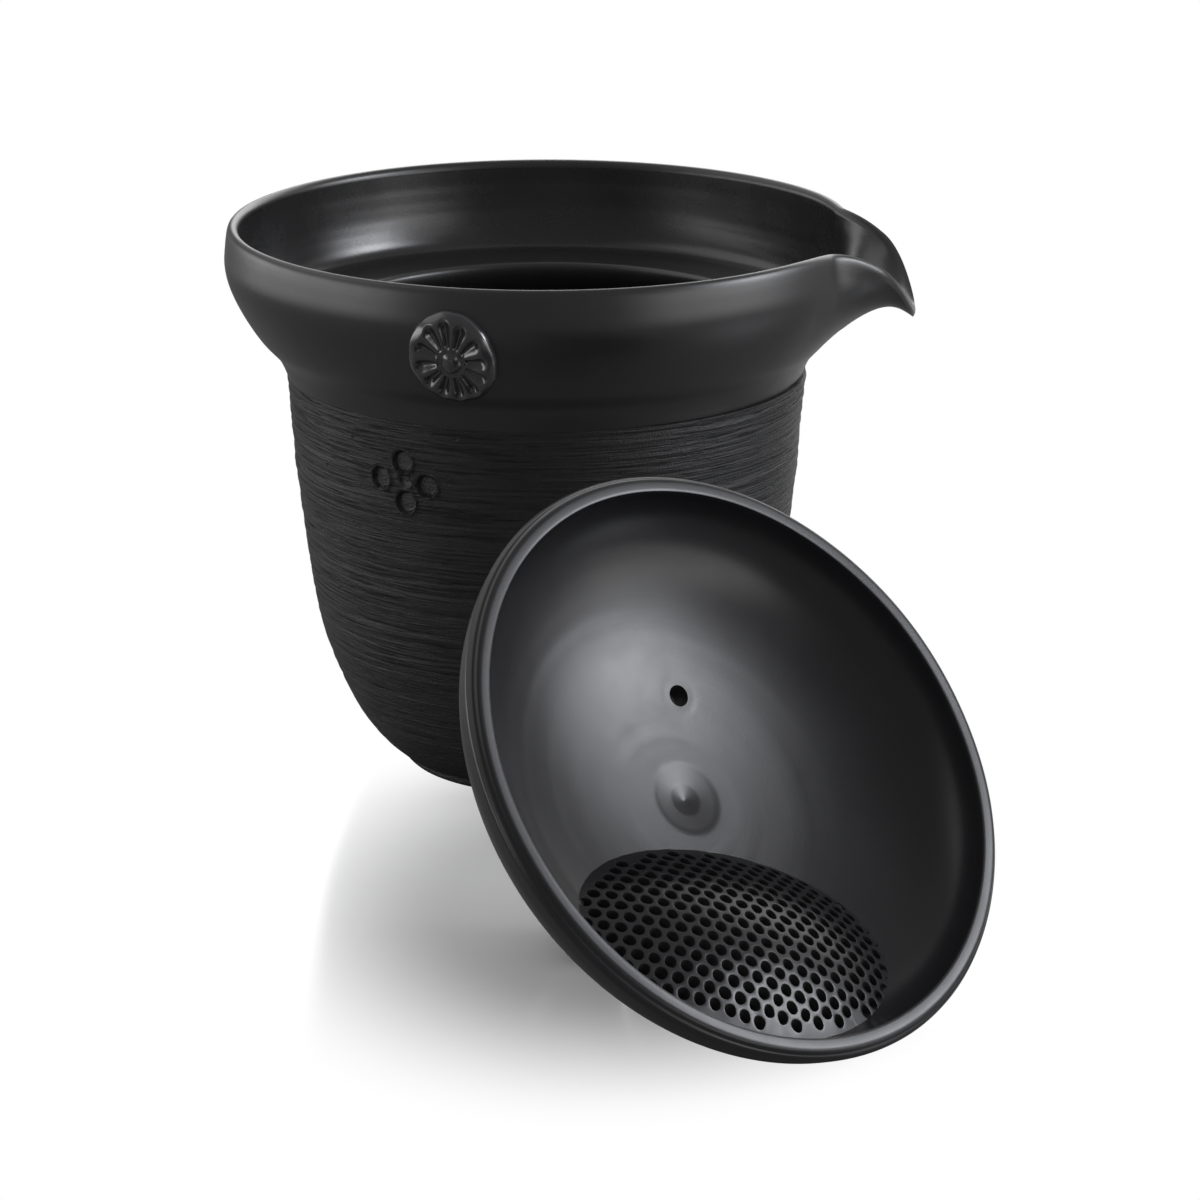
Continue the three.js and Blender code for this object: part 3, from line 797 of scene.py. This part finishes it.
def build_medallion(context):
    pot, collar = values(context, "teapot_pot"), values(context, "teapot_collar")
    size = values(context, "teapot_medallion")
    rings = np.concatenate([
        [0, 0.08, 0.135, 0.175, 0.2, BUTTON_SHARE, 0.225, 0.25, 0.28], np.linspace(PETAL_START, 0.88, 34),
        [0.9, 0.92, 0.94, 0.96, 0.975, 0.988, 0.996, 1],
    ])
    across = np.linspace(-1, 1, PETAL_COLUMNS + 1)
    r, u = np.meshgrid(np.concatenate([rings, BACK_RINGS]), across, indexing="ij")
    turn = u * math.pi / size.petals
    height = petal_height(r, u)
    height[len(rings):] = MEDALLION_BACK
    columns = PETAL_COLUMNS + 1
    faces = [
        (row * columns + i, (row + 1) * columns + i, (row + 1) * columns + i + 1, row * columns + i + 1)
        for row in range(len(r) - 1) for i in range(PETAL_COLUMNS)
    ]
    points = np.stack([r * np.cos(turn), r * np.sin(turn), height], axis=-1).reshape(-1, 3)
    piece = new_piece("rosette_medallion_sculpted", points, faces)
    material = clay_material("glossy")
    shaped(piece, petal_tree(), {"Petals": size.petals, "Material": material})
    flat = points_of(piece)
    r, azimuth = polar(flat)
    rng = np.random.default_rng(21)
    uneven = patches(rng, 3, 7, r, azimuth / TAU) * between(flat[:, 2], 0.4, 1.0)
    flat[:, 2] += 0.14 * uneven
    spin = 0.05 * patches(rng, 2, 9, r, azimuth / TAU) * between(r, 0.25, 0.5)
    r = r * (1 - 0.005 * between(r, 0.7, 1) * (1 - np.cos(size.petals * azimuth)))
    azimuth = azimuth + math.radians(size.petals * 0.5) + spin
    along = flat_length(pot, collar)
    middle = np.interp(size.height, along[:, 2], along[:, 0])
    x = r * np.cos(azimuth) * size.half_width
    y = r * np.sin(azimuth) * size.half_height
    at = middle + y
    on_r, on_z = np.interp(at, along[:, 0], along[:, 1]), np.interp(at, along[:, 0], along[:, 2])
    lean = np.column_stack([np.gradient(along[:, 1], along[:, 0]), np.gradient(along[:, 2], along[:, 0])])
    out_r, out_z = np.interp(at, along[:, 0], lean[:, 1]), -np.interp(at, along[:, 0], lean[:, 0])
    radius = on_r + out_r * flat[:, 2]
    angle_on = size.azimuth + x / on_r
    wrapped = [radius * np.cos(angle_on), radius * np.sin(angle_on), on_z + out_z * flat[:, 2]]
    move_points(piece, np.column_stack(wrapped))
    return place(piece, POT_PLACE)


def flat_length(pot, collar):
    """The collar's wall as rows of (length from its foot, radius, height)."""
    wall = smooth_line(collar_wall(pot, collar), 800)
    along = np.concatenate([[0], np.cumsum(np.hypot(*np.diff(wall, axis=0).T))])
    return np.column_stack([along, wall])


# The lid, in its own frame: z = 0 is the lip's plane, and +z points out of the dish

DISH_POWER = 2.2
VENT_REACH = (-30, 0)

# Openings behind the strainer: half width, half length, lowest and highest height in the strainer's frame
WINDOW = (12, 20, -20.5, -0.5)
CHAMBER = (15.6, 24.4, -2.1, 1.0)


def lid_place(context):
    lid = values(context, "teapot_lid")
    middle = Vector((POT_X + lid.place_x, POT_Y + lid.place_y, lid.place_z)) * MM
    return Matrix.Translation(middle) @ Euler((0, lid.lean, lid.turn)).to_matrix().to_4x4()


def strainer_place(context):
    plate = values(context, "teapot_strainer")
    turn = Matrix.Rotation(plate.azimuth, 4, "Z") @ Matrix.Rotation(plate.tilt, 4, "Y")
    return turn @ Matrix.Translation(Vector((plate.centre, 0, -plate.distance)) * MM)


def hollow(mouth, depth, first, last, count):
    """A hollow's wall as (radius, height), from one share of a quarter turn to another."""
    turn = np.linspace(first, last, count) * TAU / 4
    power = 2 / DISH_POWER
    return np.column_stack([mouth * np.sin(turn) ** power, -depth * np.cos(turn) ** power])


def cut(piece, cutter, operation="DIFFERENCE"):
    """Takes the cutter's volume out of the piece, or keeps only what lies in it."""
    modifier = piece.modifiers.new("Opening", "BOOLEAN")
    modifier.object = cutter
    modifier.operation = operation
    modifier.material_mode = "TRANSFER"
    modifier.solver = "EXACT"
    settle(piece)
    bpy.data.objects.remove(cutter)


def column(name, half_x, half_y, low, high, sides, matrix):
    """A closed oval column, placed by a matrix."""
    turns = np.arange(sides) / sides * TAU
    ring = np.column_stack([half_x * np.cos(turns), half_y * np.sin(turns)])
    points = [(x, y, z) for z in (low, high) for x, y in ring]
    sides_faces = [(i, (i + 1) % sides, sides + (i + 1) % sides, sides + i) for i in range(sides)]
    caps = [tuple(range(sides))[::-1], tuple(range(sides, 2 * sides))]
    piece = new_piece(name, points, sides_faces + caps)
    piece.data.transform(matrix)
    return piece


def build_lid_dome(context):
    lid = values(context, "teapot_lid")
    dome = hollow(lid.radius, lid.dome_depth, 0.04, 0.905, 74)
    edge, outer, inner = lid.radius, lid.lip_outer, lid.lip_inner
    band = smooth_line([
        dome[-1], (edge, -1.75), (edge - 0.12, -1.2), (edge - 0.36, -0.75), (outer + 0.28, -0.56),
        (outer + 0.14, -0.36), (outer, -0.16), (outer - 0.2, -0.02),
    ], 34)[1:]
    lip = [(42.8, 0), (42.3, -0.03), (41.9, -0.06), (inner + 0.3, -0.08), (inner + 0.12, -0.15)]
    dish = hollow(inner, lid.dish_depth, 0.985, 0.14, 90)
    middle = np.linspace(dish[-1, 0], 0, 44)[1:]
    floor = -lid.dish_depth * (1 - (middle / inner) ** DISH_POWER) ** (1 / DISH_POWER)
    dish = np.concatenate([dish, np.column_stack([middle, floor])])
    crown = [(0, -lid.dome_depth)]
    profile = np.concatenate([crown, dome, band, lip, dish])
    piece = turned("lid_dome_burnished", profile, clay_material("satin", "lid"), 300)
    points, rows = points_of(piece), rows_of(piece)
    x, y, z = points.T
    radius, azimuth = polar(points)
    inside = rows >= len(crown) + len(dome) + len(band) + len(lip)
    q = np.hypot(x - lid.dimple_x, y - lid.dimple_y) / lid.dimple_radius
    wall, cone = 1 - between(q, 0.84, 1.08), (1 - q + np.sqrt((1 - q) ** 2 + 0.01)) / 2
    pit = np.clip(1 - np.sqrt(q * q + 0.003) / 0.45, 0, 1)
    dimple = lid.dimple_depth * (0.06 * wall + 0.64 * cone * between(-q, -1.5, -1.1) + 0.3 * pit)
    vent = np.hypot(x - lid.vent_x, y - lid.vent_y)
    lifted = 0.02 * np.exp(-(((vent - lid.vent_radius - 0.9) / 0.5) ** 2))
    rng = np.random.default_rng(8)
    wheel = 0.02 * patches(rng, 26, 5, radius / lid.radius, azimuth / TAU)
    points[:, 2] += inside * (lifted - dimple + wheel * between(radius, 7, 10))
    waves = 0.1 * patches(rng, 1, 17, np.zeros_like(z), azimuth / TAU)
    fallen = 0.26 * np.exp(-(((azimuth + 1.1) / 0.55) ** 2)) * between(radius, inner, outer)
    points[:, 2] += (waves - fallen) * between(z, -1.2, -0.3) * between(radius, 40, 41.3)
    move_points(piece, points)
    vent_place = Matrix.Translation(Vector((lid.vent_x, lid.vent_y, 0)) * MM)
    for cutter in (
        column("vent_cut", lid.vent_radius, lid.vent_radius, *VENT_REACH, 40, vent_place),
        column("window_cut", *WINDOW, 64, strainer_place(context)),
        column("chamber_cut", *CHAMBER, 64, strainer_place(context)),
    ):
        cutter.data.materials.append(clay_material("raw", "lid"))
        cut(piece, cutter)
    return place(piece, lid_place(context))


def close_sides(piece):
    """Joins the open upper edge of a plate to the open lower edge, and turns its faces outwards."""
    shape = bmesh.new()
    shape.from_mesh(piece.data)
    bmesh.ops.bridge_loops(shape, edges=[edge for edge in shape.edges if edge.is_boundary])
    bmesh.ops.recalc_face_normals(shape, faces=shape.faces)
    shape.to_mesh(piece.data)
    shape.free()


def build_strainer(context):
    lid, plate = values(context, "teapot_lid"), values(context, "teapot_strainer")
    turns = np.arange(12) / 12 * TAU
    apothem = plate.pitch / 2
    hexagon = np.where(np.arange(12) % 2, apothem / math.cos(TAU / 12), apothem)
    hole = plate.hole_radius
    under = -plate.thickness
    rings = [
        (hexagon, 0), (hole + 0.1, 0), (hole + 0.05, -0.01), (hole + 0.01, -0.07), (hole, -0.2),
        (hole * 0.75, under), (hexagon, under),
    ]
    points = [
        (r * math.cos(t), r * math.sin(t), z)
        for ring, z in rings for r, t in zip(np.broadcast_to(ring, 12), turns)
    ]
    faces = [
        (row * 12 + i, row * 12 + (i + 1) % 12, (row + 1) * 12 + (i + 1) % 12, (row + 1) * 12 + i)
        for row in range(len(rings) - 1) for i in range(12)
    ]
    cell_points = len(points)
    points += [(r * math.cos(t), r * math.sin(t), z) for z in (0, under) for r, t in zip(hexagon, turns)]
    upper, lower = range(cell_points, cell_points + 12), range(cell_points + 12, cell_points + 24)
    faces += [tuple(upper), tuple(lower)[::-1]]
    piece = new_piece("strainer_plate_pierced", points, faces)
    beyond = 1.4
    shaped(piece, pierced_tree(), {
        "Pitch": plate.pitch * MM, "Rows Angle": plate.rows_angle,
        "Half Count": math.ceil(2.4 * plate.half_length / plate.pitch),
        "Bulge": plate.bulge * MM,
        "Half Width": plate.half_width * MM, "Half Length": plate.half_length * MM,
        "Tilt": plate.tilt, "Distance": plate.distance * MM, "Centre": plate.centre * MM,
        "Mouth": (lid.lip_inner + beyond) * MM, "Depth": (lid.dish_depth + beyond) * MM,
        "Power": DISH_POWER, "Uneven": plate.uneven * MM, "Seed": 3.0, "Off Middle": 0.85 * MM,
        "Holes Across": (plate.half_width - 0.45) * MM, "Holes Along": (plate.half_length + 0.7) * MM,
        "Cell Points": cell_points, "Material": clay_material("satin", "lid"),
    })
    close_sides(piece)
    raw = clay_material("raw", "lid")
    piece.data.materials.append(raw)
    for face in piece.data.polygons:
        face.material_index = 0 if face.normal.z > 0.75 else 1
    piece.data.transform(strainer_place(context))
    embed = 0.5
    cavity = np.concatenate([
        [(0, -0.02), (lid.lip_inner + embed, -0.02)],
        hollow(lid.lip_inner + embed, lid.dish_depth + embed, 0.985, 0.0, 60),
    ])
    room = turned("strainer_room", cavity[::-1], raw, 120)
    cut(piece, room, "INTERSECT")
    return place(piece, lid_place(context))


def build_lid_knob(context):
    lid, plate = values(context, "teapot_lid"), values(context, "teapot_strainer")
    edge = smooth_line([
        (5, -1.2), (lid.knob_radius - 1.4, -0.6), (lid.knob_radius - 0.3, 0.0), (lid.knob_radius, 0.8),
        (lid.knob_radius - 0.4, 2),
    ], 40)
    span = math.hypot(math.cos(plate.azimuth), lid.knob_oval * math.sin(plate.azimuth))
    reach = max(r * span * math.sin(lid.lean) - z * math.cos(lid.lean) for r, z in edge)
    depth = (lid.place_z - reach) / math.cos(lid.lean)
    base = depth - lid.dome_depth + 0.4
    neck = smooth_line([
        (lid.knob_radius - 0.4, 2), (8.6, 4.4), (6, 9), (lid.knob_neck, base * 0.56),
        (lid.knob_neck + 0.5, base - 4), (lid.knob_base, base),
    ], 70)[1:]
    profile = [(0, -1.4), (2.5, -1.36), *edge, *neck, (0, base)]
    piece = turned("lid_knob_turned", profile, clay_material("satin", "lid"), 144)
    flat = Matrix.Diagonal((1, lid.knob_oval, 1, 1))
    shift = Matrix.Translation(Vector((0, 0, -depth)) * MM)
    return place(piece, lid_place(context) @ Matrix.Rotation(plate.azimuth, 4, "Z") @ shift @ flat)


# Finishes

CLAY_IOR = {"burnished": 1.72, "glossy": 1.9}


def clay_material(finish, piece="pot"):
    """One clay finish. The wheel's lines follow the axis of the pot or of the lid."""
    name = f"{finish}_clay_{piece}"
    if name in bpy.data.materials:
        return bpy.data.materials[name]
    context = bpy.context
    look = values(context, "teapot_finishes")
    material = bpy.data.materials.new(name)
    tree = shader_tree(material)
    middle = lid_place(context) if piece == "lid" else POT_PLACE
    back = middle.inverted()
    spot = tree.add("ShaderNodeTexCoord", {}, {}, 3)
    spot = tree.add("ShaderNodeMapping", {"vector_type": "POINT"}, {
        "Vector": spot, "Location": back.to_translation(), "Rotation": back.to_euler(),
    })
    tint = (*getattr(look, finish), 1)
    rough = getattr(look, finish + "_roughness")
    build = {"brushed": brushed_look, "glossy": glossy_look, "raw": raw_look}.get(finish, burnished_look)
    shade, roughness, normal = build(tree, spot, tint, rough)
    shader = tree.add("ShaderNodeBsdfPrincipled", {}, {
        "Base Color": shade, "Roughness": roughness, "Normal": normal, "IOR": CLAY_IOR.get(finish, 1.5),
    })
    tree.end("ShaderNodeOutputMaterial", shader)
    return material


def darker(tint, factor):
    return (*(channel * factor for channel in tint[:3]), 1)


def brushed_look(tree, spot, tint, rough):
    """Matte clay brushed round on the wheel, with streaks, pits and short strokes, and with painted light on
    the ridges and painted shade in the furrows and pits.
    """
    smoothed = tree.attribute("smoothed")
    fine = tree.noise(tree.stretched(spot, 90, 90, 2600), 1.0, 3.0, 0.6)
    wide = tree.noise(tree.stretched(spot, 45, 45, 1000), 1.0, 2.0)
    furrow_relief_and_shade = (1 - fine.smooth(0.3, 0.48)) * (1 - smoothed)
    grain = tree.noise(spot, 2600, 2.0, 0.6)
    cloud = tree.noise(spot, 60, 3.0)
    cell = tree.add("ShaderNodeTexVoronoi", {"feature": "F1"}, {
        "Vector": tree.stretched(spot, 300, 300, 460), "Scale": 1.0, "Randomness": 1.0,
    })
    pick = tree.add("ShaderNodeTexWhiteNoise", {"noise_dimensions": "3D"}, {"Vector": cell.out("Position")})
    pit_relief_and_shade = (1 - cell.smooth(0.04, 0.16)) * (pick > 0.9)
    # Painted light and shade: the colour is lighter on the ridges of the brushed lines and darker in their
    # furrows, mixed with a random cloudy tone.
    light = (fine.smooth(0.35, 0.75) * 0.6 + cloud * 0.4)
    shade = tree.blend(light, darker(tint, 0.6), darker(tint, 1.55))
    # Painted shade: the furrows and pits are darkened almost to black, as if shade lies in them.
    shade = tree.blend(pit_relief_and_shade.math("MAXIMUM", furrow_relief_and_shade), shade, darker(tint, 0.1))
    roughness = rough + 0.16 * fine - 0.1 * wide + 0.3 * furrow_relief_and_shade - 0.1 * smoothed
    combed = fine * 0.8 + wide * 0.5 - furrow_relief_and_shade * 0.3
    height = combed * (1 - smoothed * 0.8) + grain * 0.3 - pit_relief_and_shade * 0.8
    return shade, roughness, tree.bump(height, 0.36 * MM)


def burnished_look(tree, spot, tint, rough):
    """Satin clay polished with a stone, with faint wheel lines and a fine speckle."""
    x, y, z = spot.parts()
    radius = (x * x + y * y) ** 0.5
    lines = tree.noise(tree.vector(radius * 1500, z * 1500, radius * 8), 1.0, 3.0, 0.65)
    grain = tree.noise(spot, 3200, 2.0, 0.6)
    cloud = tree.noise(spot, 70, 3.0)
    smear = tree.noise(tree.stretched(spot, 240, 240, 240), 1.0, 4.0, 0.6)
    shade = tree.blend(cloud * 0.6 + grain * 0.4, darker(tint, 0.75), darker(tint, 1.25))
    roughness = rough + 0.08 * (smear - 0.5) + 0.07 * (cloud - 0.5) - 0.09 * tree.attribute("smoothed")
    height = lines * 0.25 + grain * 0.3 + smear * 0.3
    return shade, roughness, tree.bump(height, 0.02 * MM)


def glossy_look(tree, spot, tint, rough):
    """Clay rubbed to a shine, a little uneven."""
    cloud = tree.noise(spot, 260, 3.0)
    grain = tree.noise(spot, 2400, 2.0, 0.6)
    shade = tree.blend(cloud, darker(tint, 0.8), darker(tint, 1.25))
    roughness = rough + 0.12 * (cloud - 0.5)
    return shade, roughness, tree.bump(cloud * 0.8 + grain * 0.1, 0.08 * MM)


def raw_look(tree, spot, tint, rough):
    """Dry clay where the holes were pierced."""
    grain = tree.noise(spot, 1800, 3.0, 0.6)
    return tree.blend(grain, darker(tint, 0.6), tint), rough - 0.1 * grain, tree.bump(grain, 0.05 * MM)


# The stage

STAGE_MIDDLE = (0.002, -0.025, 0)
STAGE_NEAR = 0.03
STAGE_FAR = 0.082
FLOOR_RADIUS = 4000
LIT_MIDDLE = Vector((0, 0, 0.045))
KEY_AZIMUTH = math.radians(-6)
KEY_ELEVATION = math.radians(24)
KEY_TINT = (0.93, 0.945, 1.0)
KEY_MIDDLE_GAIN = 3.2
CAMERA_PLACE = Vector((1.681, -594.918, 226.05)) * MM
CAMERA_PITCH = 0.3024


def floor_material(stage):
    """White floor with a soft shine. Beyond the object it is plain white to the camera."""
    material = bpy.data.materials.new("white_floor")
    tree = shader_tree(material)
    seen = tree.add("ShaderNodeLightPath", {}, {}).out("Is Camera Ray")
    grey = (stage.floor_lights,) * 3
    shade = tree.blend(seen, (*grey, 1), (*stage.floor, 1))
    matte = tree.add("ShaderNodeBsdfDiffuse", {}, {"Color": shade})
    mirror = tree.add("ShaderNodeBsdfGlossy", {}, {"Color": (1, 1, 1, 1), "Roughness": 0.16})
    glance = tree.add("ShaderNodeFresnel", {}, {"IOR": 1.4})
    share = seen * stage.shine + (1 - seen) * glance
    surface = tree.add("ShaderNodeMixShader", {}, {0: share, 1: matte, 2: mirror})
    spot = tree.add("ShaderNodeTexCoord", {}, {}, 3)
    spot = tree.add("ShaderNodeVectorMath", {"operation": "SUBTRACT"}, {0: spot, 1: STAGE_MIDDLE})
    spot = tree.stretched(spot, 1.35, 1, 1)
    away = tree.add("ShaderNodeVectorMath", {"operation": "LENGTH"}, {0: spot}, 1)
    plain = tree.add("ShaderNodeEmission", {}, {"Color": (1, 1, 1, 1), "Strength": 1.0})
    far = seen * away.smooth(STAGE_NEAR, STAGE_FAR)
    mixed = tree.add("ShaderNodeMixShader", {}, {0: far, 1: surface, 2: plain})
    tree.end("ShaderNodeOutputMaterial", mixed)
    return material


def light_world(stage):
    """White to the camera, with bright walls behind and beside the object in reflections."""
    world = bpy.data.worlds.new("studio")
    tree = shader_tree(world)
    path = tree.add("ShaderNodeLightPath", {}, {})
    seen, glossy = path.out("Is Camera Ray"), path.out("Is Glossy Ray")
    x, y, z = tree.add("ShaderNodeTexCoord", {}, {}, 0).parts()
    turn, rise = y.math("ARCTAN2", x), z.math("ARCSINE")
    behind = turn.smooth(0.55, 0.95) * (1 - turn.smooth(1.55, 1.85))
    behind = behind * rise.smooth(0.03, 0.2) * (1 - rise.smooth(0.5, 0.8))
    low = 1 - rise.smooth(0.14, 0.24)
    beside = (turn - 3.1).math("COSINE").smooth(0.66, 0.9) * low
    beyond = (turn + 0.45).math("COSINE").smooth(0.84, 0.95) * low
    upper = rise.smooth(0.35, 0.5) * (1 - rise.smooth(0.9, 1.1))
    upper = upper * (turn - 2.6).math("COSINE").smooth(0.2, 0.8)
    front = (turn + 1.57).math("COSINE").smooth(0.2, 0.9)
    walls = stage.behind * behind + stage.beside * beside + 2.2 * beyond + 0.6 * upper
    mirrored = 0.27 - 0.13 * front + walls
    level = glossy * mirrored + (1 - glossy) * stage.ambient
    level = seen + (1 - seen) * level
    light = tree.add("ShaderNodeBackground", {}, {"Color": (1, 1, 1, 1), "Strength": level})
    tree.end("ShaderNodeOutputWorld", light)
    bpy.context.scene.world = world


def soft_light(name, width, height, radiance, away):
    """A soft box on the beak's side that faces the object, whose power gives it this radiance."""
    lamp = bpy.data.lights.new(name, "AREA")
    lamp.shape = "RECTANGLE"
    lamp.size, lamp.size_y = width, height
    lamp.energy = radiance * math.pi * width * height
    lamp.color = KEY_TINT
    light = bpy.data.objects.new(name, lamp)
    level, turn = KEY_ELEVATION, KEY_AZIMUTH
    out = Vector((math.cos(level) * math.cos(turn), math.cos(level) * math.sin(turn), math.sin(level)))
    light.location = LIT_MIDDLE + out * away
    light.rotation_euler = out.to_track_quat("Z", "Y").to_euler()
    light.visible_camera = False
    bpy.context.scene.collection.objects.link(light)


def build_stage(context):
    stage = values(context, "teapot_stage")
    turns = np.arange(96) / 96 * TAU
    points = np.column_stack([FLOOR_RADIUS * np.cos(turns), FLOOR_RADIUS * np.sin(turns), 0 * turns])
    floor = new_piece("studio_floor", points, [tuple(range(96))])
    floor.data.materials.append(floor_material(stage))
    light_world(stage)
    soft_light("key_softbox", 0.34, 0.28, stage.key, 0.6)
    soft_light("key_middle", 0.17, 0.14, KEY_MIDDLE_GAIN * stage.key, 0.59)
    lens = bpy.data.cameras.new("photo_camera")
    lens.lens = stage.lens
    lens.sensor_width = 36
    camera = bpy.data.objects.new("photo_camera", lens)
    camera.location = CAMERA_PLACE
    camera.rotation_euler = (TAU / 4 - CAMERA_PITCH, 0, 0)
    context.scene.collection.objects.link(camera)
    context.scene.camera = camera
    context.scene.view_settings.view_transform = "Standard"


# Operators, one for each piece and one for the stage

def dress(piece, body, node):
    """Says which body the piece rides on, which node it stands for."""
    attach(piece, body)
    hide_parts(node)
    return {"FINISHED"}


class TEAPOT_OT_pot_body(bpy.types.Operator):
    """Build the brushed body with its stamped rings"""
    bl_idname = "teapot.pot_body"
    bl_label = "Pot body"

    def execute(self, context):
        return dress(build_pot_body(context), "pot", "pot_body")


class TEAPOT_OT_foot_ring(bpy.types.Operator):
    """Build the trimmed foot ring"""
    bl_idname = "teapot.foot_ring"
    bl_label = "Foot ring"

    def execute(self, context):
        return dress(build_foot_ring(context), "pot", "foot_ring")


class TEAPOT_OT_pouring_collar(bpy.types.Operator):
    """Build the burnished collar with its beak and ledge"""
    bl_idname = "teapot.pouring_collar"
    bl_label = "Pouring collar"

    def execute(self, context):
        return dress(build_pouring_collar(context), "pot", "pouring_collar")


class TEAPOT_OT_medallion(bpy.types.Operator):
    """Build the petalled medallion on the collar"""
    bl_idname = "teapot.medallion"
    bl_label = "Medallion"

    def execute(self, context):
        return dress(build_medallion(context), "pot", "rosette_medallion")


class TEAPOT_OT_lid_dome(bpy.types.Operator):
    """Build the upturned lid with its lip, dimple and vent"""
    bl_idname = "teapot.lid_dome"
    bl_label = "Lid dome"

    def execute(self, context):
        return dress(build_lid_dome(context), "lid", "lid_dome")


class TEAPOT_OT_strainer(bpy.types.Operator):
    """Build the pierced strainer plate in the lid"""
    bl_idname = "teapot.strainer"
    bl_label = "Strainer plate"

    def execute(self, context):
        return dress(build_strainer(context), "lid", "strainer_plate")


class TEAPOT_OT_lid_knob(bpy.types.Operator):
    """Build the knob on the lid's outer side"""
    bl_idname = "teapot.lid_knob"
    bl_label = "Lid knob"

    def execute(self, context):
        return dress(build_lid_knob(context), "lid", "lid_knob")


class TEAPOT_OT_stage(bpy.types.Operator):
    """Build the floor, the lights and the camera"""
    bl_idname = "teapot.stage"
    bl_label = "Stage"

    def execute(self, context):
        build_stage(context)
        return {"FINISHED"}


OPERATORS = (
    TEAPOT_OT_pot_body, TEAPOT_OT_foot_ring, TEAPOT_OT_pouring_collar, TEAPOT_OT_medallion,
    TEAPOT_OT_lid_dome, TEAPOT_OT_strainer, TEAPOT_OT_lid_knob, TEAPOT_OT_stage,
)


class TEAPOT_PT_sidebar(bpy.types.Panel):
    """Lists the teapot's pieces, sizes and finishes"""
    bl_idname = "TEAPOT_PT_sidebar"
    bl_label = "Teapot"
    bl_space_type = "VIEW_3D"
    bl_region_type = "UI"
    bl_category = "Teapot"

    def draw(self, context):
        for operator in OPERATORS:
            self.layout.operator(operator.bl_idname)
        for group in GROUPS:
            box = self.layout.box()
            source = getattr(context.scene, group)
            for key in source.bl_rna.properties.keys():
                if key not in ("rna_type", "name"):
                    box.prop(source, key)


def register():
    for group, kind in GROUPS.items():
        bpy.utils.register_class(kind)
        setattr(bpy.types.Scene, group, bpy.props.PointerProperty(type=kind))
    for kind in (*OPERATORS, TEAPOT_PT_sidebar):
        bpy.utils.register_class(kind)


def unregister():
    for kind in (TEAPOT_PT_sidebar, *reversed(OPERATORS)):
        bpy.utils.unregister_class(kind)
    for group, kind in GROUPS.items():
        delattr(bpy.types.Scene, group)
        bpy.utils.unregister_class(kind)


def main():
    register()
    for operator in OPERATORS:
        family, name = operator.bl_idname.split(".")
        getattr(getattr(bpy.ops, family), name)()


if __name__ == "__main__":
    main()
